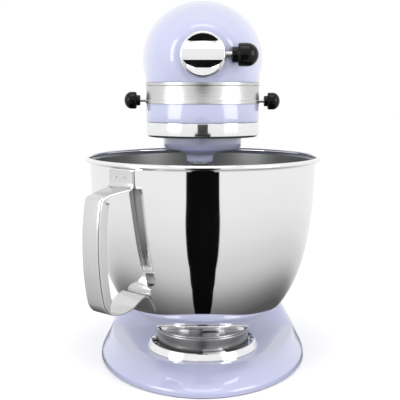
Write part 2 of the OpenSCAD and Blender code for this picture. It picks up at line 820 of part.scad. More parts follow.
// A straight bevel gear: a cone with square-cut teeth, apex up the axis at height apex.
module bevel_gear(teeth, apex, face, bore) {
    r = teeth * bevel_m / 2;
    slope = atan2(r, apex);
    slant = sqrt(r * r + apex * apex);
    difference() {
        union() {
            cylinder(r1 = r - 1.1, r2 = (r - 1.1) * (1 - face / slant), h = face * cos(slope));
            for (i = [0:teeth - 1]) rotate(360 * i / teeth) translate([r, 0, 0]) rotate([0, -slope, 0])
                translate([-1.6, 0, 0]) linear_extrude(face - 0.5)
                    polygon([[-0.6, -0.52], [2.1, -0.28], [2.1, 0.28], [-0.6, 0.52]]);
        }
        translate([0, 0, -3]) cylinder(r = bore, h = 40);
        translate([0, 0, -5]) cylinder(r = r + 10, h = 5);
    }
}

bevel_apex = hub_bevel_teeth * bevel_m / 2;
hub_gear_d = -center_bevel_teeth * bevel_m / 2;
module center_bevel_gear() {
    color(steel) placed() translate([0, 0, hub_z - bevel_apex]) rotate(-90)
        bevel_gear(center_bevel_teeth, bevel_apex, 6, 8);
}

module hub_bevel_gear() {
    color(steel) placed() translate([0, hub_gear_d, hub_z]) rotate([-90, 0, 0])
        rotate(90 + 180 / hub_bevel_teeth) bevel_gear(hub_bevel_teeth, -hub_gear_d, 6, 6);
}

module hub_shaft() {
    back = hub_gear_d + 5;
    front = hub_from + socket_len;
    color(steel) placed() difference() {
        along_y(0, front, hub_z) cylinder(r = 6, h = back - front);
        translate([-3.2, front - 1, hub_z - 3.2]) cube([6.4, 3.5, 6.4]);
    }
}

/* ---- planetary and beater shaft ---- */
orbit_angle = -96;
carrier_low = 209.5;
carrier_high = 226.5;
boss_low = 200.5;
boss_r = 12;

module center_shaft() {
    color(steel) placed() translate([0, 0, 212]) cylinder(r = 8, h = hub_z - bevel_apex + 4 - 212);
}

module center_bush() {
    color([0.72, 0.55, 0.30]) placed() translate([0, 0, case_z]) tube(12, 8 + fit, wall + 12);
}

module ring_gear() {
    color(steel) placed() translate([0, 0, 228]) difference() {
        cylinder(r = ring_bore, h = case_z - 228);
        translate([0, 0, -1]) rotate(orbit_angle) linear_extrude(case_z - 226)
            polygon(gear_outline(ring_teeth, spur_module, 1.1, 0.8, 0.25, 0.38));
    }
}

module at_beater() {
    rotate(orbit_angle) translate([orbit_r, 0, 0]) children();
}

module planetary_housing() {
    color(paint) placed() difference() {
        union() {
            rotate_extrude() polygon(concat(
                [[0, carrier_high], [0, carrier_low]],
                [for (a = [0:15:90]) [28.5 + 8 * sin(a), carrier_low + 8 - 8 * cos(a)]],
                [[36.5, carrier_high - 1], [35.5, carrier_high]]
            ));
            at_beater() translate([0, 0, boss_low]) rotate_extrude() polygon(concat(
                [[0, 0], [boss_r - 1.5, 0], [boss_r - 0.4, 0.5], [boss_r, 1.5], [boss_r + 0.2, 5]],
                [for (a = [15:15:75]) [boss_r + 4.2 - 4 * cos(a), 5 + 4 * sin(a)]],
                [[boss_r + 4.2, 10], [0, 10]]
            ));
        }
        translate([0, 0, 212]) cylinder(r = 8, h = 30);
        at_beater() translate([0, 0, 190]) cylinder(r = journal_r + fit, h = 50);
        rotate(orbit_angle + 90) for (side = [-1, 1]) translate([side * 24, 0, 214]) cylinder(r = 8, h = 20);
    }
}

// The cross pin that a beater's sleeve locks onto
pin_z = 189;
cross_r = 1.8;
cross_half = 9.5;
shaft_low = 176;
// Length of the end that a beater slides onto, below the cross pin; the journal above it is relieved.
working_end = 11;
journal_r = 6.15;
module beater_shaft() {
    color(bright) placed() at_beater() difference() {
        union() {
            translate([0, 0, shaft_low]) cylinder(r = beater_r, h = working_end);
            translate([0, 0, shaft_low + working_end])
                cylinder(r = journal_r, h = 227.5 - shaft_low - working_end);
            translate([0, 0, 227]) cylinder(r = 5, h = 8);
            translate([0, 0, boss_low - 2.6]) cylinder(r = 8.2, h = 2.3);
        }
        translate([-10, 0, pin_z]) rotate([0, 90, 0]) cylinder(r = cross_r, h = 20);
    }
}

module beater_cross_pin() {
    color(bright) placed() at_beater() translate([-cross_half, 0, pin_z]) rotate([0, 90, 0])
        cylinder(r = cross_r, h = 2 * cross_half);
}

module planet_pinion() {
    color(steel) placed() at_beater() translate([0, 0, 228.3]) difference() {
        linear_extrude(6) polygon(gear_outline(planet_teeth, spur_module, 0.7, 1.1));
        translate([0, 0, -1]) cylinder(r = 5, h = 8);
    }
}

/* ---- bowl ---- */
function bezier(p, t) = let (u = 1 - t)
    u * u * u * p[0] + 3 * u * u * t * p[1] + 3 * u * t * t * p[2] + t * t * t * p[3];
function bezier_run(p, steps, first = 0) = [for (i = [first:steps]) bezier(p, i / steps)];

crease = [75.2, 66];
function crease_at(s) = crease + [-0.6 * s, 0.8 * s];
function wall_curve(s) = [[105.5 - s, 199], [104.9 - s, 150], [100 - s, 98 + s / 2], crease_at(s)];
function under_curve(s) = [crease_at(s), [68 - 0.6 * s, 58.5 + s], [55, 49 + s], [44, 39 + s]];

// Where the flared edge of the wall runs into the rim's roll
lip = [107.6, 201.8];
module bowl_shell() {
    outer = concat(bezier_run(wall_curve(0), 18), bezier_run(under_curve(0), 8, 1), [[20, 36.5], [0, 36.5]]);
    inner = concat([[0, 36.5 + sheet], [20, 36.5 + sheet]],
                   [for (i = [8:-1:1]) bezier(under_curve(sheet), i / 8)],
                   [for (i = [18:-1:0]) bezier(wall_curve(sheet), i / 18)]);
    color(steel) placed() {
        rotate_extrude() polygon(concat([lip], outer, inner, [lip + [-1, 1.1]]));
        rotate_extrude() translate([rim_r, rim_z]) circle(r = roll_r);
    }
}

// The ribs lie under the clamp plate's tabs; turned 30 degrees, they are clear of them.
rib_from = 3;
rib_span = 20;
module bowl_foot() {
    low = deck_z + 2.3;
    color(steel) placed() {
        rotate_extrude() polygon([
            [foot_r - 1.5, low], [foot_r, low], [foot_r, 36.4], [foot_r + 0.7, 37], [foot_r + 0.7, 38.2],
            [foot_r, 38.9], [foot_r - 0.9, 38.9], [foot_r - 1.5, 37.8]
        ]);
        for (i = [0:tab_count - 1]) rotate(120 * i - 90 + rib_from)
            rotate_extrude(angle = rib_span) translate([foot_r - 0.4, low + 0.7]) square([4, 1.8]);
    }
}

// Path of the strap seen from the side: x is the distance from the bowl's axis, y the height.
strap_t = 1.5;
plate_line = [[107.3, 198], [107.1, 185.6]];
arm_line = [[110.5, 183.4], [134.5, 178.6]];
grip_curve = [[137.5, 177.8], [144.2, 152], [143.9, 112], [136.8, 86]];
hook_curve = [[136.8, 86], [131.5, 74.6], [118, 75.4], [106, 80]];
crest_curve = [[106, 80], [99, 84], [92, 90.5], [88.4, 83.5]];
strap_end = [81.3, 71.6];

function strap_path() = concat(
    plate_line, arm_line,
    bezier_run(grip_curve, 16), bezier_run(hook_curve, 8, 1), bezier_run(crest_curve, 7, 1),
    [(crest_curve[3] + strap_end) / 2, strap_end]
);

// Half width, flange depth and bend towards the bowl at each place on the path.
grip_half = 10.5;
end_half = 14.5;
function ease(x) = let (t = max(0, min(1, x))) t * t * (3 - 2 * t);
function strap_half(p) = p[1] > 130
    ? end_half - (end_half - grip_half) * ease((p[0] - 108) / 22)
    : end_half - (end_half - grip_half) * ease((p[0] - 112) / 18);
function strap_flange(p) = strap_t + 0.1
    + 8 * ease((p[0] - 128) / 5) * ease((p[1] - 77) / 9) * ease((181.5 - p[1]) / 6);
function strap_bend(p) = p[1] > 183 ? 1 / 105 : p[0] < 95 && p[1] < 90 ? ease((95 - p[0]) / 6) / 82 : 0;

function strap_section(p, tangent) =
    let (
        w = strap_half(p), f = strap_flange(p), c = min(2.4, f * 0.45), t = strap_t, bend = strap_bend(p),
        out = [tangent[1], -tangent[0]],
        outer = [for (x = [-1:0.5:1]) [x * (w - c), 0]],
        inner = [for (x = [1:-0.5:-1]) [x * (w - t), -t]],
        loop = concat(
            outer, [[w - 0.3 * c, -0.3 * c], [w, -c], [w, -f], [w - t, -f]],
            inner, [[t - w, -f], [-w, -f], [-w, -c], [0.3 * c - w, -0.3 * c]]
        )
    )
    [for (q = loop) let (n = q[1] - q[0] * q[0] * bend / 2) [p[0] + out[0] * n, q[0], p[1] + out[1] * n]];

function unit(v) = v / norm(v);

module bowl_handle() {
    path = strap_path();
    last = len(path) - 1;
    tangents = [for (i = [0:last]) unit(path[max(0, i - 1)] - path[min(last, i + 1)])];
    color(steel) placed() rotate(270 - handle_angle) difference() {
        loft([for (i = [0:last]) strap_section(path[i], tangents[i])]);
        for (side = [-1, 1]) translate([100, side * 5, 192]) rotate([0, 90, 0]) cylinder(r = 0.8, h = 12);
        translate([74, 0, 76.5]) rotate([0, 90, 0]) cylinder(r = 0.8, h = 14);
    }
}

base_casting();
pedestal();
rubber_feet();
pedestal_bolts();
bowl_clamp_plate();
clamp_plate_screws();
hinge_pin();
pin_set_screw();
height_adjust_screw();
upper_housing();
lower_gearcase();
trim_band();
rear_cover();
rear_cover_screw();
housing_screws();
drip_ring();
ring_gear();
center_bush();
hub_sleeve();
hub_cover_pin();
motor_stator();
stator_windings();
front_bearing_bracket();
rear_bearing_bracket();
motor_bearings();
brush_holders();
carbon_brushes();
brush_caps();
gear_bearing_block();
speed_control_board();
cord_gland();
motor_shaft();
armature_core();
commutator();
cooling_fan();
worm_wheel();
worm_wheel_shaft();
drive_pinion();
center_shaft();
center_gear();
center_bevel_gear();
planetary_housing();
beater_shaft();
planet_pinion();
beater_cross_pin();
hub_shaft();
hub_bevel_gear();
hub_cover();
attachment_knob();
attachment_knob_screw();
speed_lever_rod();
speed_lever_knob();
lock_lever_rod();
lock_lever_knob();
bowl_shell();
bowl_foot();
bowl_handle();
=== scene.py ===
import json
import math

import bmesh
import bpy
from mathutils import Matrix, Vector


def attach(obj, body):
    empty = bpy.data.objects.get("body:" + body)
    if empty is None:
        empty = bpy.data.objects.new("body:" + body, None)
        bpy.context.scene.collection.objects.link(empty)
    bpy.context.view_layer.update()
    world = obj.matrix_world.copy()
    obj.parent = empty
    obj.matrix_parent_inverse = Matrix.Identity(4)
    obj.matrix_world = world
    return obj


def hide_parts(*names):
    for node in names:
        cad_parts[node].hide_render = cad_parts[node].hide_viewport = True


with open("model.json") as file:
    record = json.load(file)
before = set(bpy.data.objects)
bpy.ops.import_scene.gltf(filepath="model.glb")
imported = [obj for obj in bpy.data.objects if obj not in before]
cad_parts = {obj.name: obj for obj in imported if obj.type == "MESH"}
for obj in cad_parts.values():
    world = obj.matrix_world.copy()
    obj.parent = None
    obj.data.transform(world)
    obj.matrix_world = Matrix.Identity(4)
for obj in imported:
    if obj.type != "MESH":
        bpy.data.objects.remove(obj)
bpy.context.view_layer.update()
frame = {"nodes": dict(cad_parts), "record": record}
nodes = frame["nodes"]
node_slot = {s["node"]: s["material_slot"] for s in frame["record"]["subparts"]}

# Lengths from here on are in millimetres about the bowl's axis: x to the right, d backwards, z up.
MM = 0.001
BOWL_Y = 67
# The hinge pin across the column, and how far back the head tilts about it
HINGE_D, HINGE_Z, PIN_BORE_R, TILT = 150, 218, 5.05, 50
# The head's levels: underside, trim band, widest height and attachment hub
CASE_Z, BAND_LOW, BAND_HIGH, HEAD_Z, HUB_Z = 236, 253, 272, 294.5, 295.3
# Its plan: nose radius, half width and back at the band, and where the nose has swelled to full width
NOSE_R, BAND_HALF, PLAN_BACK, SWELL_D = 52.7, 56, 244, 75
# Its dome: half width and rise, where it is fullest, and its front and back ends
DOME_HALF, DOME_RISE, DOME_D, DOME_FRONT, HEAD_BACK = 59.5, 58.5, 75, -54, 247.5
# The castings' wall, and where the rear cover begins
WALL, COVER_D = 3, 214
# The stand: its deck, the seam under the column, and its half width
DECK_Z, SEAM_Z, BASE_HALF = 20, 70, 103
# The beater shaft's circle about the bowl's axis, and where on it the shaft rests
ORBIT_R, ORBIT_ANGLE = 24, math.radians(-96)
# The attachment socket's outer radius, which is its cover's too, and the front face of the cover
HUB_R, COVER_FACE = 19.5, -66.3
# The motor's brushes, whose screw caps show on both sides of the head
BRUSH_X, BRUSH_D, BRUSH_Z, CAP_R, CAP_LENGTH = 50, 178, 292, 7, 9.6


# ---------------------------------------------------------------- camera, light and stage

def setting():
    scene = bpy.context.scene
    scene.view_settings.view_transform = "Standard"
    camera = bpy.data.objects.new("camera", bpy.data.cameras.new("camera"))
    camera.data.lens, camera.data.sensor_width = 72, 36
    camera.location = (-0.00245, -0.8207, 0.2639)
    camera.rotation_euler = (math.radians(90 - 7.72), 0, 0)
    scene.collection.objects.link(camera)
    scene.camera = camera

    world = bpy.data.worlds.new("studio")
    world.use_nodes = True
    world.node_tree.nodes["Background"].inputs["Color"].default_value = (1, 1, 1, 1)
    world.node_tree.nodes["Background"].inputs["Strength"].default_value = 1.03
    scene.world = world

    def soft_box(name, place, aim, width, height, power):
        light = bpy.data.lights.new(name, "AREA")
        light.shape, light.size, light.size_y, light.energy = "RECTANGLE", width, height, power
        box = bpy.data.objects.new(name, light)
        box.location = place
        box.rotation_euler = (Vector(aim) - Vector(place)).to_track_quat("-Z", "Y").to_euler()
        scene.collection.objects.link(box)

    soft_box("soft_left", (-1.24, -0.84, 0.64), (0, -0.1, 0.3), 0.8, 1.0, 9)
    soft_box("soft_right", (1.24, -0.84, 0.64), (0, -0.1, 0.3), 0.8, 1.0, 9)
    soft_box("soft_top", (0, -0.45, 1.5), (0, -0.05, 0.3), 0.9, 0.7, 4)


def stage_plane(name, corners, material, seen=True):
    """A flat card in metres. One that isn't seen shows in reflections alone."""
    mesh = bpy.data.meshes.new(name)
    mesh.from_pydata(corners, [], [(0, 1, 2, 3)])
    plane = bpy.data.objects.new(name, mesh)
    bpy.context.scene.collection.objects.link(plane)
    mesh.materials.append(material)
    if not seen:
        plane.visible_camera = plane.visible_diffuse = plane.visible_shadow = False


def glow(name, colour=(0, 0, 0)):
    """A material that shows one even brightness whatever the light, with its tree and its emission node."""
    material = bpy.data.materials.new(name)
    material.use_nodes = True
    tree = material.node_tree
    tree.nodes.remove(tree.nodes["Principled BSDF"])
    shine = tree.nodes.new("ShaderNodeEmission")
    shine.inputs["Color"].default_value = (*colour, 1)
    tree.links.new(shine.outputs["Emission"], tree.nodes["Material Output"].inputs["Surface"])
    return material, tree, shine


# Painted floor shade seen in the polished bowl: how bright the studio floor looks there, by distance in metres
# from the stand's middle.
PAINTED_FLOOR_SHADE = [(0.10, 0.10), (0.13, 0.20), (0.155, 0.32), (0.18, 0.47), (0.20, 0.56), (0.225, 0.65),
              (0.25, 0.70), (0.32, 0.78), (0.40, 0.86), (0.60, 0.93), (1.00, 0.97)]


def painted_floor_shade():
    """Painted floor shade for reflections: dark in an oval under the stand, and brighter outwards."""
    material, tree, shine = glow("painted_floor_shade")
    mapping = tree.nodes.new("ShaderNodeMapping")
    mapping.inputs["Location"].default_value = (0, 0.037, 0)
    mapping.inputs["Scale"].default_value = (0.74, 1, 0)
    tree.links.new(tree.nodes.new("ShaderNodeTexCoord").outputs["Object"], mapping.inputs["Vector"])
    length = tree.nodes.new("ShaderNodeVectorMath")
    length.operation = "LENGTH"
    tree.links.new(mapping.outputs["Vector"], length.inputs[0])
    ramp = tree.nodes.new("ShaderNodeValToRGB")
    while len(ramp.color_ramp.elements) < len(PAINTED_FLOOR_SHADE):
        ramp.color_ramp.elements.new(0.5)
    for element, (where, bright) in zip(ramp.color_ramp.elements, PAINTED_FLOOR_SHADE):
        element.position, element.color = where, (bright, bright, bright, 1)
    tree.links.new(length.outputs["Value"], ramp.inputs["Fac"])
    tree.links.new(ramp.outputs["Color"], shine.inputs["Color"])
    return material


# Half width of the painted dark reflection strip, lying just over the floor, by distance in front of the
# bowl's axis.
PAINTED_DARK_STRIP = [(0.085, 0.013), (0.10, 0.016), (0.13, 0.023), (0.16, 0.029), (0.18, 0.036), (0.23, 0.049),
              (0.28, 0.069), (0.35, 0.0925), (0.43, 0.1185), (0.53, 0.149), (0.86, 0.234), (2.6, 0.72)]


def stage_cards():
    """The floor, and unlit cards that only the polished pieces reflect, which paint shade and dark reflections
    into them.
    """
    def level(half, near, far, z):
        return [(-half, near, z), (half, near, z), (half, far, z), (-half, far, z)]

    stage_plane("floor", level(9, -9, 9, 0), plain_material("floor_pale", (0.97, 0.97, 0.97), 0.6))
    # A glowing card seen only in reflections, which paints the floor's shade under the stand
    stage_plane("painted_floor_shade_card", level(3, -3, 3, 0.001), painted_floor_shade(), False)
    # Near-black unlit cards seen only in reflections: a painted dark reflection in the polished pieces
    dark = glow("painted_dark_reflection", (0.002, 0.002, 0.002))[0]
    for i, ((near, a), (far, b)) in enumerate(zip(PAINTED_DARK_STRIP, PAINTED_DARK_STRIP[1:])):
        y0, y1 = -BOWL_Y * MM - near, -BOWL_Y * MM - far
        corners = [(-b, y1, 0.002), (b, y1, 0.002), (a, y0, 0.002), (-a, y0, 0.002)]
        stage_plane(f"painted_reflection_strip_{i}", corners, dark, False)
    # A dim unlit card behind the camera, seen only in reflections: a painted dark reflection
    half, away, low, high = 0.36, -2.1, 0.003, 0.30
    corners = [(-half, away, low), (half, away, low), (half, away, high), (-half, away, high)]
    stage_plane("painted_back_reflection", corners, glow("painted_back_reflection", (0.06, 0.06, 0.06))[0], False)


# ---------------------------------------------------------------- materials

def new_material(name):
    material = bpy.data.materials.new(name)
    material.use_nodes = True
    tree = material.node_tree
    return material, tree, tree.nodes["Principled BSDF"]


def plain_material(name, colour, rough):
    material, _, shader = new_material(name)
    shader.inputs["Base Color"].default_value = (*colour, 1)
    shader.inputs["Roughness"].default_value = rough
    return material


def noise(tree, scale, detail=2.0, stretch=(1, 1, 1), vector=None):
    """Noise over the object's own coordinates in metres, squeezed by stretch."""
    mapping = tree.nodes.new("ShaderNodeMapping")
    mapping.inputs["Scale"].default_value = stretch
    if vector is None:
        vector = tree.nodes.new("ShaderNodeTexCoord").outputs["Object"]
    tree.links.new(vector, mapping.inputs["Vector"])
    texture = tree.nodes.new("ShaderNodeTexNoise")
    texture.inputs["Scale"].default_value = scale
    texture.inputs["Detail"].default_value = detail
    tree.links.new(mapping.outputs["Vector"], texture.inputs["Vector"])
    return texture.outputs["Fac"]


def spread(tree, value, low, high):
    """The value's usual 0.3 to 0.7 spread over low to high."""
    node = tree.nodes.new("ShaderNodeMapRange")
    node.inputs["From Min"].default_value, node.inputs["From Max"].default_value = 0.3, 0.7
    node.inputs["To Min"].default_value, node.inputs["To Max"].default_value = low, high
    tree.links.new(value, node.inputs["Value"])
    return node.outputs["Result"]


def tint(tree, value, dark, light):
    mix = tree.nodes.new("ShaderNodeMix")
    mix.data_type = "RGBA"
    mix.inputs["A"].default_value, mix.inputs["B"].default_value = (*dark, 1), (*light, 1)
    tree.links.new(value, mix.inputs["Factor"])
    return mix.outputs["Result"]


def bump(tree, shader, height, depth, strength):
    node = tree.nodes.new("ShaderNodeBump")
    node.inputs["Distance"].default_value, node.inputs["Strength"].default_value = depth, strength
    tree.links.new(height, node.inputs["Height"])
    tree.links.new(node.outputs["Normal"], shader.inputs["Normal"])


def around_bowl(tree):
    """Coordinates (distance from the bowl's axis, 0, height), so that lines run round the bowl."""
    coords = tree.nodes.new("ShaderNodeTexCoord").outputs["Object"]
    split = tree.nodes.new("ShaderNodeSeparateXYZ")
    tree.links.new(coords, split.inputs["Vector"])
    shift = tree.nodes.new("ShaderNodeMath")
    shift.operation = "ADD"
    shift.inputs[1].default_value = BOWL_Y * MM
    tree.links.new(split.outputs["Y"], shift.inputs[0])
    flat = tree.nodes.new("ShaderNodeCombineXYZ")
    tree.links.new(split.outputs["X"], flat.inputs["X"])
    tree.links.new(shift.outputs["Value"], flat.inputs["Y"])
    length = tree.nodes.new("ShaderNodeVectorMath")
    length.operation = "LENGTH"
    tree.links.new(flat.outputs["Vector"], length.inputs[0])
    out = tree.nodes.new("ShaderNodeCombineXYZ")
    tree.links.new(length.outputs["Value"], out.inputs["X"])
    tree.links.new(split.outputs["Z"], out.inputs["Z"])
    return out.outputs["Vector"]


def gloss_paint():
    """Enamel over a casting: a soft orange peel under a clear gloss, with a faint drift in the colour."""
    material, tree, shader = new_material("gloss_paint")
    drift = spread(tree, noise(tree, 9, 2), 0, 1)
    colour = tint(tree, drift, (0.392, 0.405, 0.570), (0.408, 0.421, 0.588))
    tree.links.new(colour, shader.inputs["Base Color"])
    tree.links.new(spread(tree, noise(tree, 60, 2), 0.28, 0.32), shader.inputs["Roughness"])
    shader.inputs["Coat Weight"].default_value = 1.0
    shader.inputs["Coat Roughness"].default_value = 0.04
    shader.inputs["Coat IOR"].default_value = 1.6
    bump(tree, shader, noise(tree, 240, 1), 0.00001, 0.1)
    return material


def metal(name, colour, low, high, scale, stretch=(1, 1, 1), round_bowl=False, depth=0.0, smudge=0.0,
          shade=0.94):
    """Metal whose grain is noise squeezed along the brushing, with wide smudges over it.

    low and high are its roughness, depth is the grain's in metres, and shade darkens the grain's troughs.
    """
    material, tree, shader = new_material(name)
    vector = around_bowl(tree) if round_bowl else None
    grain = noise(tree, scale, 3, stretch, vector)
    rough = spread(tree, grain, low, high)
    if smudge:
        add = tree.nodes.new("ShaderNodeMath")
        add.operation = "ADD"
        tree.links.new(rough, add.inputs[0])
        tree.links.new(spread(tree, noise(tree, 22, 3), 0, smudge), add.inputs[1])
        rough = add.outputs["Value"]
    tree.links.new(rough, shader.inputs["Roughness"])
    darker = tuple(c * shade for c in colour)
    tree.links.new(tint(tree, spread(tree, grain, 0, 1), darker, colour), shader.inputs["Base Color"])
    shader.inputs["Metallic"].default_value = 1.0
    if depth:
        bump(tree, shader, grain, depth, 0.3)
    return material


def plastic(name, dark, light, low, high, shine=0.5):
    """Moulded plastic with a fine grain, faintly patchy in colour and gloss."""
    material, tree, shader = new_material(name)
    patches = spread(tree, noise(tree, 40, 3), 0, 1)
    tree.links.new(tint(tree, patches, dark, light), shader.inputs["Base Color"])
    tree.links.new(spread(tree, noise(tree, 90, 3), low, high), shader.inputs["Roughness"])
    shader.inputs["Specular IOR Level"].default_value = shine
    bump(tree, shader, noise(tree, 700, 2), 0.00002, 0.3)
    return material


def make_materials():
    """The finishes by the record's slot names, and two more for the bowl's inside and foot, whose steel is
    darkened as painted shade.
    """
    ring = (1, 1, 3)
    return {
        "paint": gloss_paint(),
        "trim": metal("brushed_trim", (0.62, 0.62, 0.62), 0.24, 0.36, 500, (0.06, 0.06, 4), depth=0.00002),
        "chrome": metal("polished_chrome", (0.86, 0.86, 0.87), 0.06, 0.09, 60, smudge=0.03),
        "bowl_steel": metal("polished_bowl", (0.86, 0.86, 0.865), 0.040, 0.05, 400, ring, True,
                            smudge=0.015, shade=0.99),
        # The bowl's foot: satin steel with its colour darkened as painted shade under the bowl
        "foot_steel_painted_shade": metal("satin_foot_painted_shade", (0.40, 0.40, 0.405), 0.24, 0.34, 400, ring, True, smudge=0.04),
        # The bowl's inside: real brush-grained steel, with its colour darkened as painted shade from the head
        # above
        "bowl_inside_painted_shade": metal("brushed_bowl_painted_shade", (0.34, 0.34, 0.34), 0.26, 0.38, 900, ring, True, 0.00004, 0.04),
        "handle_steel": metal("satin_handle", (0.70, 0.70, 0.705), 0.12, 0.20, 300, (4, 4, 0.12),
                              smudge=0.04),
        "plain_steel": metal("machined_steel", (0.55, 0.55, 0.56), 0.20, 0.34, 300, depth=0.00002),
        "cast_metal": metal("cast_metal", (0.50, 0.51, 0.53), 0.40, 0.55, 250, depth=0.00008),
        "laminated_iron": metal("laminated_iron", (0.28, 0.28, 0.30), 0.35, 0.5, 900, (0.1, 6, 0.1),
                                depth=0.00005),
        "copper": metal("drawn_copper", (0.72, 0.36, 0.20), 0.25, 0.38, 600, (1, 4, 1), depth=0.00004),
        "brass": metal("turned_brass", (0.76, 0.58, 0.28), 0.22, 0.32, 400, depth=0.00002),
        "rubber": plastic("foot_rubber", (0.018, 0.018, 0.019), (0.030, 0.030, 0.031), 0.65, 0.85),
        "black_plastic": plastic("gloss_black", (0.002, 0.002, 0.002), (0.004, 0.004, 0.004), 0.10, 0.16,
                                 shine=0.2),
        "fan_plastic": plastic("fan_plastic", (0.04, 0.04, 0.04), (0.06, 0.06, 0.06), 0.45, 0.6),
        "carbon": plastic("carbon", (0.03, 0.03, 0.03), (0.05, 0.05, 0.05), 0.55, 0.7),
        "nylon": plastic("nylon", (0.70, 0.67, 0.56), (0.76, 0.73, 0.62), 0.35, 0.45),
        "board": plastic("board", (0.03, 0.16, 0.08), (0.05, 0.20, 0.10), 0.4, 0.5),
    }


# ---------------------------------------------------------------- mesh helpers

def row_point(p):
    return (p[0] * MM, (p[1] - BOWL_Y) * MM, p[2] * MM)


def piece(name, points, faces, body, slot, replaces=(), sharp=32, face_slots=None, looks=()):
    """A mesh from points in millimetres about the bowl's axis, riding on a body."""
    mesh = bpy.data.meshes.new(name)
    mesh.from_pydata([row_point(p) for p in points], [], faces)
    if face_slots:
        mesh.polygons.foreach_set("material_index", face_slots)
    made = bpy.data.objects.new(name, mesh)
    bpy.context.scene.collection.objects.link(made)
    tidy_mesh(mesh, sharp)
    mesh.materials.append(LOOKS[slot])
    for look in looks:
        mesh.materials.append(LOOKS[look])
    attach(made, body)
    if replaces:
        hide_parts(*replaces)
    return made


def tidy_mesh(mesh, sharp):
    """Joins doubled points, turns faces outwards and smooths all but the sharp edges."""
    bm = bmesh.new()
    bm.from_mesh(mesh)
    bmesh.ops.remove_doubles(bm, verts=bm.verts, dist=2e-6)
    bmesh.ops.dissolve_degenerate(bm, dist=1e-6, edges=bm.edges)
    bmesh.ops.recalc_face_normals(bm, faces=bm.faces)
    bm.to_mesh(mesh)
    bm.free()
    mesh.shade_smooth()
    mesh.set_sharp_from_angle(angle=math.radians(sharp))


def grid(rows, closed_rows=False, cap_first=False, cap_last=False):
    """Faces over rings of equal length, each ring closed on itself."""
    n, m = len(rows[0]), len(rows)
    points = [p for row in rows for p in row]
    faces = []
    for j in range(m if closed_rows else m - 1):
        k = (j + 1) % m
        for i in range(n):
            faces.append((j * n + i, j * n + (i + 1) % n, k * n + (i + 1) % n, k * n + i))
    if cap_first:
        faces.append(tuple(range(n)))
    if cap_last:
        faces.append(tuple((m - 1) * n + i for i in range(n)))
    return points, faces


def rounded(points, radius, steps=5, closed=True):
    """The outline with each corner turned into an arc; a corner's own radius may be its third number."""
    out, n = [], len(points)
    for i, p in enumerate(points):
        here = Vector(p[:2])
        r = p[2] if len(p) > 2 else radius
        if r <= 0 or (not closed and i in (0, n - 1)):
            out.append(tuple(here))
            continue
        before, after = Vector(points[i - 1][:2]) - here, Vector(points[(i + 1) % n][:2]) - here
        half = before.angle(after) / 2
        reach = min(r / max(math.tan(half), 1e-6), before.length * 0.48, after.length * 0.48)
        a, b = here + before.normalized() * reach, here + after.normalized() * reach
        for k in range(steps + 1):
            t = k / steps
            out.append(tuple(a * (1 - t) ** 2 + here * 2 * t * (1 - t) + b * t * t))
    return out


def lathe(profile, steps=128, start=0.0, sweep=360.0):
    """The profile (radius, height) turned about +Z, all the way round or as a capped sector."""
    full = sweep >= 360
    rows = []
    for k in range(steps if full else steps + 1):
        a = math.radians(start + sweep * k / steps)
        rows.append([(r * math.cos(a), r * math.sin(a), z) for r, z in profile])
    return grid(rows, closed_rows=full, cap_first=not full, cap_last=not full)


def join(*parts):
    """Several shapes as one."""
    points, faces = [], []
    for some, these in parts:
        base = len(points)
        points += some
        faces += [tuple(base + i for i in f) for f in these]
    return points, faces


def moved(part, matrix):
    """The shape carried by a matrix in millimetres."""
    points, faces = part
    return [tuple(matrix @ Vector(p)) for p in points], faces


def at(x, d, z, axis=None):
    """The matrix that puts a lathe's foot at a place, with its axis along +X, -X, +Y or -Y if asked."""
    turn = {None: Matrix.Identity(4), "x": Matrix.Rotation(math.pi / 2, 4, "Y"),
            "-x": Matrix.Rotation(-math.pi / 2, 4, "Y"), "y": Matrix.Rotation(-math.pi / 2, 4, "X"),
            "-y": Matrix.Rotation(math.pi / 2, 4, "X")}[axis]
    return Matrix.Translation((x, d, z)) @ turn


def block(x0, x1, d0, d1, z0, z1):
    """A plain box to cut with or to join on."""
    points = [(x, d, z) for x in (x0, x1) for d in (d0, d1) for z in (z0, z1)]
    return points, [(0, 1, 3, 2), (4, 6, 7, 5), (0, 4, 5, 1), (2, 3, 7, 6), (0, 2, 6, 4), (1, 5, 7, 3)]


def cylinder(radius, length, steps=64):
    """A round bar up from the origin, to cut with."""
    ring = [(radius * math.cos(2 * math.pi * i / steps), radius * math.sin(2 * math.pi * i / steps))
            for i in range(steps)]
    return grid([[(x, y, z) for x, y in ring] for z in (0, length)], cap_first=True, cap_last=True)


def loose(name, part):
    """A closed shape as an object of its own, which is removed once it has been used."""
    mesh = bpy.data.meshes.new(name)
    mesh.from_pydata([row_point(p) for p in part[0]], [], part[1])
    tidy_mesh(mesh, 30)
    made = bpy.data.objects.new(name, mesh)
    bpy.context.scene.collection.objects.link(made)
    return made


def cut(target, part, operation="DIFFERENCE", sharp=32):
    """Takes a closed shape from a piece, or joins it on or keeps only what lies in it, for good."""
    tool = loose("tool", part)
    change = target.modifiers.new("cut", "BOOLEAN")
    change.operation, change.object, change.solver = operation, tool, "EXACT"
    bpy.context.view_layer.update()
    result = bpy.data.meshes.new_from_object(target.evaluated_get(bpy.context.evaluated_depsgraph_get()))
    target.modifiers.clear()
    target.data = result
    bpy.data.objects.remove(tool)
    tidy_mesh(result, sharp)


# ---------------------------------------------------------------- the head's shape

def squircle(t, n):
    """Height at t along a rounded end: 1 at 0, falling to 0 at 1, the squarer the larger n."""
    return max(0.0, 1 - min(1.0, abs(t)) ** n) ** (1 / n)


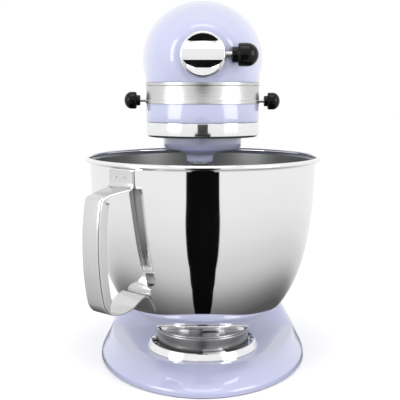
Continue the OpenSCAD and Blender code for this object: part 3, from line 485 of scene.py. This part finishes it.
def plan_half(d, o=0.0):
    """Half width of the head's plan outline, inset by o."""
    if d <= 0:
        return math.sqrt(max(0.0, (NOSE_R - o) ** 2 - d * d))
    if d < SWELL_D:
        return NOSE_R - o + (BAND_HALF - NOSE_R) * (1 - math.cos(math.pi * d / SWELL_D)) / 2
    return (BAND_HALF - o) * squircle((d - SWELL_D) / (PLAN_BACK - o - SWELL_D), 4.5)


def dome_share(d, o, power):
    """The dome's size at a place along the head, as a share of its fullest."""
    if d < DOME_D:
        return squircle((DOME_D - d) / (DOME_D - DOME_FRONT - o), power)
    return squircle((d - DOME_D) / (HEAD_BACK - o - DOME_D), 4)


def head_ring(z, o=0.0, steps=72):
    """A level ring of the head: its plan outline up to the band's top, then the domed housing."""
    if z >= HEAD_Z:
        h = z - HEAD_Z
        share = min(1.0, h / (DOME_RISE - o))
        front = DOME_D - (DOME_D - DOME_FRONT - o) * squircle(share, 2.3)
        back = DOME_D + (HEAD_BACK - o - DOME_D) * squircle(share, 4)
    else:
        u = min(1.0, (HEAD_Z - z) / (HEAD_Z - BAND_HIGH))
        front = (DOME_FRONT + o) * (1 - u * u) + (o - NOSE_R) * u * u
        back = (HEAD_BACK - o) * (1 - u * u) + (PLAN_BACK - o) * u * u
    halves, stations = [], []
    for i in range(steps + 1):
        t = (1 - math.cos(math.pi * i / steps)) / 2
        d = front + t * (back - front)
        if z >= HEAD_Z:
            rise = (DOME_RISE - o) * dome_share(d, o, 2.3)
            wide = (DOME_HALF - o) * dome_share(d, o, 2.7)
            half = 0 if rise <= h else wide * math.sqrt(1 - (h / rise) ** 2)
        else:
            wide_d = DOME_FRONT + o + t * (HEAD_BACK - DOME_FRONT - 2 * o)
            plan_d = o - NOSE_R + t * (PLAN_BACK + NOSE_R - 2 * o)
            wide = (DOME_HALF - o) * dome_share(wide_d, o, 2.7)
            half = wide * (1 - u * u) + plan_half(plan_d, o) * u * u
        halves.append(half)
        stations.append(d)
    right = [(halves[i], stations[i], z) for i in range(steps + 1)]
    return right + [(-halves[i], stations[i], z) for i in range(steps - 1, 0, -1)]


BOSS_R, BOSS_D, BOSS_BLEND = 24.0, -52.5, 13.0


def with_boss(ring):
    """Draws the front of the housing forward into a soft round boss about the attachment hub."""
    out = []
    for x, d, z in ring:
        away = math.hypot(x, z - HUB_Z)
        if d < 0 and away < BOSS_R + BOSS_BLEND:
            t = min(1.0, max(0.0, (away - BOSS_R + 3) / (BOSS_BLEND + 3)))
            pull = 1 - t * t * (3 - 2 * t)
            d = min(d, d * (1 - pull) + BOSS_D * pull)
        out.append((x, d, z))
    return out


def dome_levels():
    """The heights of the dome's rings, closer together towards its crown."""
    below = [BAND_HIGH, BAND_HIGH + 0.8] + [BAND_HIGH + 1.5 + 21 * i / 14 for i in range(15)]
    above = [HEAD_Z + DOME_RISE * math.sin(math.pi / 2 * i / 36) for i in range(1, 34)]
    return below + above + [HEAD_Z + DOME_RISE * 0.9957]


# Heights of the rings of the hollow inside the dome
HOLLOW_Z = (BAND_HIGH, 285, 295, 306, 318, 330, 340, 346)
# The vents under the rear cover: their pitch and half width
VENT_PITCH, VENT_HALF = 9, 2


def upper_housing():
    """The domed shell, open behind and below, with the hub's socket and the brush caps' holes."""
    outer = [with_boss(head_ring(z, 0.5 if i == 0 else 0)) for i, z in enumerate(dome_levels())]
    inner = [head_ring(z, WALL) for z in reversed(HOLLOW_Z)]
    shell = grid(inner + outer, cap_first=True, cap_last=True)
    made = piece("upper_housing_shell", *shell, "motor_head", "paint", ["upper_housing"], sharp=40)
    cut(made, moved(cylinder(HUB_R + 0.1, 34), at(0, -62, HUB_Z, "y")), sharp=40)
    cut(made, block(-90, 90, COVER_D, 300, 200, 400), sharp=40)
    for side in (-1, 1):
        hole = moved(cylinder(CAP_R + 0.1, 24), at(side * BRUSH_X - 12, BRUSH_D, BRUSH_Z, "x"))
        cut(made, hole, sharp=40)


def rear_cover():
    """The head's rear cap, with the vents under it and the holes for the cord gland and the cover's screw."""
    skirt = [(CASE_Z, 1.6), (CASE_Z + 0.3, 0.8), (CASE_Z + 1.6, 0), (BAND_LOW, 0), (BAND_HIGH - 0.01, 0)]
    outer = [head_ring(z, o) for z, o in skirt] + [head_ring(z) for z in dome_levels()[1:]]
    shell = grid(outer, cap_first=True, cap_last=True)
    made = piece("rear_cover_shell", *shell, "motor_head", "paint", ["rear_cover"], sharp=40)
    cut(made, block(-90, 90, -100, COVER_D + 0.4, 200, 400), sharp=40)
    hollow = [head_ring(z, WALL) for z in (CASE_Z + WALL, BAND_LOW + 1, *HOLLOW_Z)]
    cut(made, grid(hollow, cap_first=True, cap_last=True), sharp=40)
    for i in range(-3, 4):
        middle = i * VENT_PITCH
        vent = block(middle - VENT_HALF, middle + VENT_HALF, 216, 230, CASE_Z - 1, CASE_Z + 5)
        cut(made, vent, sharp=40)
    gland_r, screw_r = 5.05, 2.1
    cut(made, moved(cylinder(gland_r, 30), at(26, 226, 250, "y")), sharp=40)
    cut(made, moved(cylinder(screw_r, 30), at(0, 225, 262, "y")), sharp=40)


def plan_path():
    """Places round the head's plan outline from the right rear, round the nose, to the left rear."""
    rear = [COVER_D - (COVER_D - SWELL_D) * i / 40 for i in range(40)]
    swell = [SWELL_D - SWELL_D * i / 24 for i in range(24)]
    nose = [("turn", 180 * i / 72) for i in range(73)]
    return [("right", d) for d in rear + swell] + nose + [("left", d) for d in reversed(rear + swell)]


def plan_place(step, o):
    """The point at one place of the plan outline, inset by o."""
    kind, value = step
    if kind == "turn":
        a = math.radians(value)
        return (NOSE_R - o) * math.cos(a), -(NOSE_R - o) * math.sin(a)
    return (1 if kind == "right" else -1) * plan_half(value, o), value


def plan_sweep(section):
    """A closed section (inset, height) carried round the plan outline."""
    rows = []
    for step in plan_path():
        rows.append([(*plan_place(step, o), z) for o, z in section])
    return grid(rows, cap_first=True, cap_last=True)


def lever_slots():
    """The slots that the speed lever and the lock lever slide in."""
    return [block(-100, -10, 1.8, 36.2, 253.8, 257.8), block(40, 100, 1.8, 18.2, 253, 257)]


def trim_band():
    """The bright strip round the head, with a raised bead along both edges."""
    bead = rounded([(-0.5, BAND_LOW + 0.1), (-0.5, BAND_LOW + 2.6), (0, BAND_LOW + 2.9), (0, BAND_HIGH - 2.9),
                    (-0.5, BAND_HIGH - 2.6), (-0.5, BAND_HIGH - 0.1)], 0.45, 4, closed=False)
    section = [(1.25, BAND_LOW + 0.1)] + bead + [(1.25, BAND_HIGH - 0.1)]
    made = piece("trim_band_strip", *plan_sweep(section), "motor_head", "trim", ["trim_band"])
    for slot in lever_slots():
        cut(made, slot)


def hinge_lug():
    """The rounded lug under the gearcase that the hinge pin passes through."""
    half, r = 24.6, 16
    side = [(HINGE_D - r, CASE_Z + 1), (HINGE_D - r, HINGE_Z)]
    side += [(HINGE_D - r * math.cos(math.radians(a)), HINGE_Z - r * math.sin(math.radians(a)))
             for a in range(10, 180, 10)]
    side += [(HINGE_D + r, HINGE_Z), (HINGE_D + r, CASE_Z + 1)]
    middle = Vector((HINGE_D, HINGE_Z + 8))
    rows = []
    for x, inset in ((-half, 1.2), (-half + 0.35, 0.35), (-half + 1.2, 0), (half - 1.2, 0),
                     (half - 0.35, 0.35), (half, 1.2)):
        row = []
        for d, z in side:
            p = Vector((d, z))
            p = p if z > CASE_Z else p + (middle - p).normalized() * inset
            row.append((x, p.x, p.y))
        rows.append(row)
    return grid(rows, cap_first=True, cap_last=True)


def gearcase():
    """The casting under the band, with its hollow, the hinge lug and the planetary's shaft hole."""
    levels = [(CASE_Z, 1.2), (CASE_Z + 0.2, 0.5), (CASE_Z + 0.8, 0.1), (CASE_Z + 1.6, 0), (BAND_LOW - 0.5, 0),
              (BAND_LOW - 0.1, 0.25), (BAND_LOW, 0.6), (BAND_LOW, 1.3), (BAND_HIGH - 0.2, 1.3)]
    path = plan_path()
    rows = [[(*plan_place(step, o), z) for step in path] for z, o in levels]
    body = grid(rows, cap_first=True, cap_last=True)
    made = piece("gearcase_shell", *body, "motor_head", "paint", ["lower_gearcase"], sharp=35)
    cut(made, hinge_lug(), "UNION", sharp=35)
    cut(made, moved(cylinder(PIN_BORE_R, 60), at(-30, HINGE_D, HINGE_Z, "x")), sharp=35)
    hollow = [[(*plan_place(step, 1.3 + WALL), z) for step in path] for z in (CASE_Z + WALL, BAND_HIGH + 1)]
    inside = [[(x, min(d, COVER_D - 3), z) for x, d, z in row] for row in hollow]
    cut(made, grid(inside, cap_first=True, cap_last=True), sharp=35)
    cut(made, moved(cylinder(12.05, 8), at(0, 0, CASE_Z - 3)), sharp=35)
    for slot in lever_slots():
        cut(made, slot, sharp=35)


# ---------------------------------------------------------------- turned parts of the head

def drip_ring():
    """The bright ring under the gearcase, rounded in at its lower edge."""
    inside, low, high = 46.5, 222.5, CASE_Z - 0.05
    outline = [(inside, high, 0.2), (inside, low, 1.2), (NOSE_R, low, 4.2), (NOSE_R, high, 0.5)]
    profile = rounded(outline, 0, 9)
    piece("drip_ring_band", *lathe(profile, 160), "motor_head", "chrome", ["drip_ring"])


def beater_place():
    """Where the beater shaft rests on its circle, at the table's level."""
    return at(ORBIT_R * math.cos(ORBIT_ANGLE), ORBIT_R * math.sin(ORBIT_ANGLE), 0)


# The shaft's end for a beater, its thinner journal above, and the carrier's rim, top and underside
BEATER_R, JOURNAL_R = 6.35, 6.15
CARRIER_R, CARRIER_TOP, CARRIER_LOW = 36.5, 226.5, 209.5


def planetary():
    """The round carrier, and the boss round the beater shaft, which flares softly into its underside."""
    bore = 8.05
    side = rounded([(0.01, CARRIER_LOW, 0), (CARRIER_R, CARRIER_LOW, 8.5), (CARRIER_R, CARRIER_TOP, 0.8),
                    (bore, CARRIER_TOP, 0)], 0, 12, closed=False)
    profile = [(bore, CARRIER_TOP), (bore, 212), (0.01, 212), (0.01, CARRIER_LOW)] + side[1:-1]
    turned = lathe(profile, 160)
    made = piece("planetary_carrier", *turned, "planetary", "paint", ["planetary_housing"], sharp=40)
    low, high = 200.5, 210.6
    flare = rounded([(0.01, low, 0), (12, low, 1.6), (12.3, 206.5, 9), (18.2, high, 0)], 0, 10, closed=False)
    boss = [(0.01, low), *flare[1:], (0.01, high)]
    cut(made, moved(lathe(boss, 96), beater_place()), "UNION", sharp=40)
    cut(made, moved(cylinder(6.4, 50), beater_place() @ Matrix.Translation((0, 0, 190))), sharp=40)


def beater_shaft():
    """The shaft that a beater slides up on, with its collar under the carrier, and its cross pin."""
    low, step, collar_low, collar_high, shoulder, top = 176, 187, 197.9, 200.2, 227.5, 235
    shaft = [(0.01, low), (BEATER_R, low, 1.3), (BEATER_R, step, 0.1), (JOURNAL_R, step, 0.1),
             (JOURNAL_R, collar_low, 0.1), (8.2, collar_low, 0.4), (8.2, collar_high, 0.4),
             (JOURNAL_R, collar_high, 0.1), (JOURNAL_R, shoulder, 0.2), (5, shoulder, 0.1), (5, top, 0.4),
             (0.01, top)]
    turned = lathe(rounded(shaft, 0, 4, closed=False), 64)
    piece("beater_shaft_pin", *moved(turned, beater_place()), "beater", "chrome", ["beater_shaft"])
    pin_r, pin_half, pin_z = 1.8, 9.5, 189
    pin = rounded([(0.01, 0), (pin_r, 0, 0.4), (pin_r, 2 * pin_half, 0.4), (0.01, 2 * pin_half)], 0, 4,
                  closed=False)
    across = beater_place() @ Matrix.Rotation(ORBIT_ANGLE, 4, "Z") @ at(-pin_half, 0, pin_z, "x")
    piece("beater_cross_pin_rod", *moved(lathe(pin, 32), across), "beater", "chrome", ["beater_cross_pin"])


def hub():
    """The socket for attachments, with its slot for the cover's hinge and its clamp screw's hole."""
    bore, bush, front, floor, back = 16, 6.05, -60, -30, -26
    sleeve = rounded([(bore, front, 0.5), (HUB_R, front, 0.8), (HUB_R, back, 0.3), (bush, back, 0.1),
                      (bush, floor, 0.1), (bore, floor, 0.3)], 0, 5)
    turned = moved(lathe(sleeve, 128), at(0, 0, HUB_Z, "y"))
    made = piece("hub_sleeve_ring", *turned, "motor_head", "chrome", ["hub_sleeve"])
    cut(made, block(-4.3, 4.3, -61, -55.4, HUB_Z + 15.4, HUB_Z + 21.4))
    cut(made, moved(cylinder(3.05, 12), at(10, -56.5, HUB_Z, "x")))


def hub_cover():
    """The hinged cover, with a raised finger bar between two sloped troughs."""
    back = COVER_FACE + 6
    disc = rounded([(0.01, COVER_FACE, 0), (HUB_R - 0.8, COVER_FACE, 0.7), (HUB_R, COVER_FACE + 1.2, 0.8),
                    (HUB_R, back, 0.6), (0.01, back, 0)], 0, 5, closed=False)
    turned = moved(lathe(disc, 128), at(0, 0, HUB_Z, "y"))
    cover = piece("hub_cover_disc", *turned, "hub_cover", "chrome", ["hub_cover"], sharp=28)
    cut(cover, block(-4, 4, back - 1, back + 3.3, HUB_Z + 16.7, HUB_Z + 19.3), "UNION", sharp=28)
    trough_edge = moved(cylinder(17.6, 7, 128), at(0, COVER_FACE - 1, HUB_Z, "y"))
    slopes = [(-1.2, 4.7), (0.0, 4.7), (3.6, 11.2), (0.6, 18.5), (-1.2, 18.5)]
    for side in (1, -1):
        rows = [[(x, COVER_FACE + u, HUB_Z + side * v) for u, v in slopes] for x in (-22, 22)]
        trough = loose("trough", grid(rows, cap_first=True, cap_last=True))
        cut(trough, trough_edge, "INTERSECT", sharp=30)
        points = [tuple(v.co / MM + Vector((0, BOWL_Y, 0))) for v in trough.data.vertices]
        cut(cover, (points, [tuple(p.vertices) for p in trough.data.polygons]), sharp=28)
        bpy.data.objects.remove(trough)


def knob(side, dome, bore, steps):
    """A knob turned about its screw: its side (radius, length) from the bore's floor out, then a dome."""
    radius, length = side[-1][:2]
    end = [(radius * math.cos(math.radians(a)), length + dome * math.sin(math.radians(a)))
           for a in range(6, 90, 6)]
    return lathe(rounded(side, 0, 5, closed=False) + end + [(0.01, length + dome), (0.01, bore)], steps)


def knobs():
    """The attachment knob, and the two smaller ones on the levers."""
    big = [(3.0, 5.2), (3.0, 0, 0.3), (6.6, 0, 0.5), (6.9, 5.1, 0.6), (9.5, 5.3, 0.8), (10.1, 7, 0.8),
           (10.1, 13, 0)]
    grip = moved(knob(big, 10, 5.2, 96), at(25, -56.5, HUB_Z, "x"))
    piece("attachment_knob_grip", *grip, "attachment_knob", "black_plastic", ["attachment_knob"])
    small = [(1.5, 6), (1.5, 0, 0.2), (4.8, 0, 0.5), (5, 3.3, 0.5), (7.5, 3.5, 0.7), (8, 5, 0.7), (8, 8.5, 0)]
    for lever, x, z, axis in (("speed_lever", -58.5, 255.8, "-x"), ("lock_lever", 57.5, 255, "x")):
        grip = moved(knob(small, 6.5, 6, 80), at(x, 4, z, axis))
        piece(f"{lever}_grip", *grip, lever, "black_plastic", [f"{lever}_knob"])


def brush_caps():
    """The two screw caps over the motor's brushes, each with a screwdriver slot."""
    outline = [(0.01, 0), (CAP_R, 0, 0.3), (CAP_R, CAP_LENGTH, 0.9), (0.01, CAP_LENGTH)]
    cap = lathe(rounded(outline, 0, 5, closed=False), 64)
    parts = [moved(cap, at(x, BRUSH_D, BRUSH_Z, axis)) for axis, x in (("x", BRUSH_X), ("-x", -BRUSH_X))]
    made = piece("brush_cap_pair", *join(*parts), "motor_head", "black_plastic", ["brush_caps"])
    outer = BRUSH_X + CAP_LENGTH
    for side in (-1, 1):
        ends = sorted((side * (outer - 1.3), side * (outer + 0.9)))
        cut(made, block(*ends, BRUSH_D - 5, BRUSH_D + 5, BRUSH_Z - 0.8, BRUSH_Z + 0.8))


# ---------------------------------------------------------------- stand

# Rows of the stand: height, front, back, half width, where it is widest, and how square its front is
BASE_LEVELS = [
    [1, -91, 232, BASE_HALF, 50, 1.95],
    [5, -90.5, 232, BASE_HALF - 0.3, 50, 1.95],
    [9, -86, 231, BASE_HALF - 2.3, 58, 2],
    [13, -79, 229.5, BASE_HALF - 4.7, 68, 2.05],
    [16.5, -71, 227.5, BASE_HALF - 6.5, 76, 2.1],
    [19, -62, 225.5, BASE_HALF - 7.8, 83, 2.15],
    [DECK_Z - 0.1, -57, 225, BASE_HALF - 8.3, 90, 2.2],
    [DECK_Z, 58, 224.8, BASE_HALF - 8.5, 90, 3.6],
    [23, 63, 223.5, BASE_HALF - 10.2, 93, 3.4],
    [27, 68, 222, BASE_HALF - 12.6, 96, 3.2],
    [33, 74, 220.5, BASE_HALF - 16, 99, 3.1],
    [41, 81, 219, BASE_HALF - 20.6, 103, 3],
    [51, 88, 217.5, BASE_HALF - 25.6, 108, 2.9],
    [60, 93.5, 216.5, BASE_HALF - 30, 113, 2.8],
    [SEAM_Z, 98, 216, BASE_HALF - 34, 118, 2.7],
]
COLUMN_LEVELS = [
    [SEAM_Z, 98, 216, BASE_HALF - 34, 118, 2.7],
    [82, 102, 215, BASE_HALF - 38.5, 123, 2.6],
    [96, 105.5, 214, BASE_HALF - 43.5, 130, 2.6],
    [112, 109, 213, BASE_HALF - 48.5, 137, 2.6],
    [130, 111.5, 211.5, BASE_HALF - 52.5, 143, 2.6],
    [148, 113.5, 208.5, BASE_HALF - 55.3, 147, 2.6],
    [166, 115, 204.5, BASE_HALF - 57.3, 149, 2.7],
    [182, 116, 199, BASE_HALF - 58.6, 150, 2.8],
    [196, 117, 190.5, BASE_HALF - 59.3, 150, 3],
]


def between(levels, steps):
    """Smooth in-between rows that never pass beyond their neighbours."""
    count, width = len(levels), len(levels[0])

    def slope(j, k):
        if j == 0:
            return levels[1][k] - levels[0][k]
        if j == count - 1:
            return levels[-1][k] - levels[-2][k]
        a, b = levels[j][k] - levels[j - 1][k], levels[j + 1][k] - levels[j][k]
        return 0 if a * b <= 0 else 2 * a * b / (a + b)

    rows = []
    for j in range(count - 1):
        for i in range(steps):
            t = i / steps
            rows.append([
                (2 * t ** 3 - 3 * t * t + 1) * levels[j][k] + (t ** 3 - 2 * t * t + t) * slope(j, k)
                + (3 * t * t - 2 * t ** 3) * levels[j + 1][k] + (t ** 3 - t * t) * slope(j + 1, k)
                for k in range(width)])
    return rows + [list(levels[-1])]


def stand_ring(row, o=0.0, steps=40):
    """A level ring of the stand from its row, inset by o, with a nearly round back."""
    z, front, back, half, mid, n = row
    rear_n = 2.1
    front, back, half = front + o, back - o, half - o
    side = []
    for i in range(steps + 1):
        a = math.pi / 2 * i / steps
        side.append((half * math.sin(a) ** (2 / n), mid - (mid - front) * math.cos(a) ** (2 / n)))
    for i in range(1, steps + 1):
        a = math.pi / 2 * i / steps
        across, along = max(0.0, math.cos(a)) ** (2 / rear_n), math.sin(a) ** (2 / rear_n)
        side.append((half * across, mid + (back - mid) * along))
    k = len(side)
    return [(x, d, z) for x, d in side] + [(-side[i][0], side[i][1], z) for i in range(k - 2, 0, -1)]


def base():
    """The hollow foot casting, swept up at the back towards the column."""
    wall = 4
    outer = [stand_ring(row) for row in between(BASE_LEVELS, 4)]
    inner = [[(x, d, z - wall) for x, d, z in stand_ring(row, wall)] for row in reversed(BASE_LEVELS[3:])]
    low = stand_ring(BASE_LEVELS[0], wall)
    shell = grid(inner + [low] + outer, cap_first=True, cap_last=True)
    piece("base_shell", *shell, "base", "paint", ["base_casting"], sharp=45)


def pedestal():
    """The column and its slotted neck, which is round over the hinge pin and then slopes down behind."""
    rows = between(COLUMN_LEVELS, 5)
    rows[0][0] += 0.05
    slope, ear, brow = math.radians(TILT), 17, 5
    top = HINGE_Z + ear
    tangent = (HINGE_D + ear * math.sin(slope), HINGE_Z + ear * math.cos(slope))
    front_d, half = COLUMN_LEVELS[-1][1], COLUMN_LEVELS[-1][3]
    for z in (199, 203, 207, 211, 215, 219, 223, 226, 228.5, 230.5, 232, 233.2, 234.1, 234.7, top):
        if z < tangent[1]:
            back = tangent[0] + (tangent[1] - z) / math.tan(slope)
        else:
            back = HINGE_D + math.sqrt(max(0.0, ear ** 2 - (z - HINGE_Z) ** 2))
        tip = max(0.0, (z - (top - brow)) / brow)
        turned_in = 1 - math.sqrt(max(0.0, 1 - tip * tip))
        square = 3 + 0.4 * min(1, (z - 196) / 10)
        front, narrow = front_d + brow * turned_in, half - 2.2 * turned_in
        rows.append([z, front, back + 0.3, narrow, min(150, back - 6), square])
    column = grid([stand_ring(row) for row in rows], cap_first=True, cap_last=True)
    made = piece("pedestal_column", *column, "base", "paint", ["pedestal"], sharp=38)
    slot_half, slot_floor, screw_r = 25, 200.5, 3.05
    cut(made, block(-slot_half, slot_half, 100, 210, slot_floor, 260), sharp=38)
    cut(made, moved(cylinder(PIN_BORE_R, 120), at(-60, HINGE_D, HINGE_Z, "x")), sharp=38)
    cut(made, moved(cylinder(screw_r, 20), at(0, 139, 185)), sharp=38)


def feet():
    """Five rubber feet under the stand."""
    spots = [(0, -62), (-74, 10), (74, 10), (-40, 182), (40, 182)]
    outline = [(0.01, 0), (10.4, 0, 0.9), (11, 1.2, 0.6), (11, 4, 0.4), (10, 5, 0.2), (0.01, 5)]
    foot = lathe(rounded(outline, 0, 4, closed=False), 48)
    parts = [moved(foot, at(x, d, 0)) for x, d in spots]
    piece("rubber_foot_set", *join(*parts), "base", "rubber", ["rubber_feet"])


def clamp_plate():
    """The bright ring that the bowl's foot stands in, with three tabs over the foot's ribs."""
    top, floor, inside, outside = 27, 22, 49, 53
    ring = [(0.01, DECK_Z), (outside, DECK_Z, 0.1), (outside, 21.2, 0.5), (50.9, 26.4, 0.7),
            (50, top, 0.4), (inside, 26.6, 0.5), (inside, floor, 0.6), (0.01, floor)]
    parts = [lathe(rounded(ring, 0, 5, closed=False), 160)]
    tab = rounded([(45.3, 25.4, 0.3), (49.2, 25.4, 0.1), (49.2, top, 0.1), (45.3, top, 0.5)], 0, 3)
    for i in range(3):
        parts.append(lathe(tab, 18, start=120 * i - 90, sweep=26))
    piece("bowl_clamp_ring", *join(*parts), "base", "chrome", ["bowl_clamp_plate"])


# ---------------------------------------------------------------- bowl

def bezier(p, t):
    u = 1 - t
    return tuple(u ** 3 * a + 3 * u * u * t * b + 3 * u * t * t * c + t ** 3 * e for a, b, c, e in zip(*p))


def run(p, steps, first=0):
    """Points along a curve, from the first step on."""
    return [bezier(p, i / steps) for i in range(first, steps + 1)]


# The rim's roll, the sheet's thickness, the bowl's underside and the foot's radius
RIM_R, RIM_Z, ROLL_R, SHEET, BOWL_LOW, FOOT_R = 108.3, 202.2, 2.2, 1.2, 36.5, 44.5


def crease(s):
    """Where the wall turns in under the bowl, on the sheet's face at depth s."""
    return 75.2 - 0.6 * s, 66 + 0.8 * s


def wall_curve(s):
    return [(105.5 - s, 199), (104.9 - s, 150), (100 - s, 98 + s / 2), crease(s)]


def under_curve(s):
    return [crease(s), (68 - 0.6 * s, 58.5 + s), (55, 49 + s), (44, 39 + s)]


def bowl():
    """The bowl from the middle of its inside, over the rolled rim, to the middle of its underside."""
    floor = BOWL_LOW + SHEET
    inside = [(0.01, floor), (20, floor)] + run(under_curve(SHEET), 16)[::-1]
    inside += run(wall_curve(SHEET), 44)[::-1][1:]
    roll = [(RIM_R + ROLL_R * math.cos(math.radians(a)), RIM_Z + ROLL_R * math.sin(math.radians(a)))
            for a in range(205, -150, -12)]
    outside = run(wall_curve(0), 44) + run(under_curve(0), 16, 1) + [(20, BOWL_LOW), (0.01, BOWL_LOW)]
    profile = inside + roll + outside
    steps = 192
    points, faces = lathe(profile, steps)
    # The inside's faces take the brush-grained steel that is darkened as painted shade
    brushed_and_shaded_points = len(inside) + 2
    slots = [1 if i < brushed_and_shaded_points else 0 for _ in range(steps) for i in range(len(profile))]
    piece("bowl_steel_shell", points, faces, "bowl", "bowl_steel", ["bowl_shell"], sharp=26,
          face_slots=slots, looks=["bowl_inside_painted_shade"])


def foot():
    """The ring under the bowl, beaded near its top, with three ribs that turn under the clamp plate's tabs."""
    low, bead, top, inside = 22.3, 0.7, 39, FOOT_R - 1.5
    band = [(inside, low, 0.4), (FOOT_R, low, 0.6), (FOOT_R, 36.2, 0.4), (FOOT_R + bead, 37, 0.5),
            (FOOT_R + bead, 38.3, 0.5), (FOOT_R, top, 0.3), (inside, top - 0.4, 0.3)]
    parts = [lathe(rounded(band, 0, 4), 160)]
    near, far, under, over = FOOT_R - 0.4, FOOT_R + 3.6, low + 0.7, low + 2.5
    rib = rounded([(near, under, 0.2), (far, under, 0.5), (far, over, 0.5), (near, over, 0.2)], 0, 3)
    for i in range(3):
        parts.append(lathe(rib, 16, start=120 * i - 90 + 3, sweep=20))
    made = piece("bowl_foot_ring", *join(*parts), "bowl", "bowl_steel", ["bowl_foot"])
    # The foot swaps the bowl's steel for a darker copy, as painted shade under the bowl
    made.data.materials[0] = LOOKS["foot_steel_painted_shade"]


# The handle's strap: its thickness, half width at the grip and at its ends, and its angle from the front
STRAP_T, GRIP_HALF, END_HALF, HANDLE_ANGLE = 1.5, 10.5, 14.5, 41


def ease(x):
    t = max(0.0, min(1.0, x))
    return t * t * (3 - 2 * t)


def strap_path():
    """The strap's outer line (radius, height) from under the rim, down the grip and back up to the wall."""
    corner = rounded([(107.3, 198), (107.1, 184.6, 3.6), (132.5, 179, 0)], 0, 10, closed=False)
    shoulder = rounded([(128, 180), (137.4, 177.9, 5), (138.8, 172.4, 0)], 0, 8, closed=False)
    grip = run([(137.5, 177.8), (144.0, 152), (143.7, 112), (136.6, 86)], 44, 4)
    hook = run([(136.6, 86), (131.3, 74.8), (118, 75.6), (106, 80)], 20, 1)
    crest = run([(106, 80), (99, 84), (92, 90.5), (88.4, 83.5)], 18, 1)
    end = [(86, 79.5), (83.6, 75.5), (81.3, 71.6)]
    return corner[:-1] + shoulder[:-1] + grip + hook + crest + end


def strap_section(p, tangent):
    """The strap's section at one place: curved to the bowl at its ends, and flanged along the grip."""
    x, z = p
    half = END_HALF - (END_HALF - GRIP_HALF) * (ease((x - 108) / 22) if z > 130 else ease((x - 112) / 18))
    flange = STRAP_T + 0.1 + 8 * ease((x - 128) / 5) * ease((z - 77) / 9) * ease((181.5 - z) / 6)
    bend = 1 / 105 if z > 183 else (ease((95 - x) / 6) / 82 if x < 95 and z < 90 else 0)
    t, corner = STRAP_T, min(2.4, flange * 0.45)
    inner = min(1.2, max(0.02, (flange - t) * 0.5))
    loop = [(-half, -flange, 0), (-half, 0, corner), (half, 0, corner), (half, -flange, 0),
            (half - t, -flange, 0), (half - t, -t, inner), (t - half, -t, inner), (t - half, -flange, 0)]
    out = (tangent[1], -tangent[0])
    made = []
    for q, n in rounded(loop, 0, 6):
        n -= q * q * bend / 2
        made.append((x + out[0] * n, q, z + out[1] * n))
    return made


def handle():
    """The strap handle, with the dimples of the spot welds at its ends."""
    path = strap_path()
    rows = []
    for i, p in enumerate(path):
        a, b = path[max(0, i - 1)], path[min(len(path) - 1, i + 1)]
        size = math.hypot(a[0] - b[0], a[1] - b[1])
        rows.append(strap_section(p, ((a[0] - b[0]) / size, (a[1] - b[1]) / size)))
    turn = Matrix.Rotation(math.radians(270 - HANDLE_ANGLE), 4, "Z")
    strap = moved(grid(rows, cap_first=True, cap_last=True), turn)
    made = piece("bowl_handle_strap", *strap, "bowl", "handle_steel", ["bowl_handle"], sharp=40)
    weld_r = 0.8
    for side in (-5, 5):
        cut(made, moved(cylinder(weld_r, 12, 24), turn @ at(101, side, 192, "x")), sharp=40)
    cut(made, moved(cylinder(weld_r, 14, 24), turn @ at(74, 0, 76.5, "x")), sharp=40)


# ---------------------------------------------------------------- the making

LOOKS = make_materials()
setting()
stage_cards()

for name, node in nodes.items():
    node.data.materials.clear()
    node.data.materials.append(LOOKS[node_slot[name]])

upper_housing()
rear_cover()
gearcase()
trim_band()
drip_ring()
planetary()
beater_shaft()
hub()
hub_cover()
knobs()
brush_caps()
base()
pedestal()
feet()
clamp_plate()
bowl()
foot()
handle()
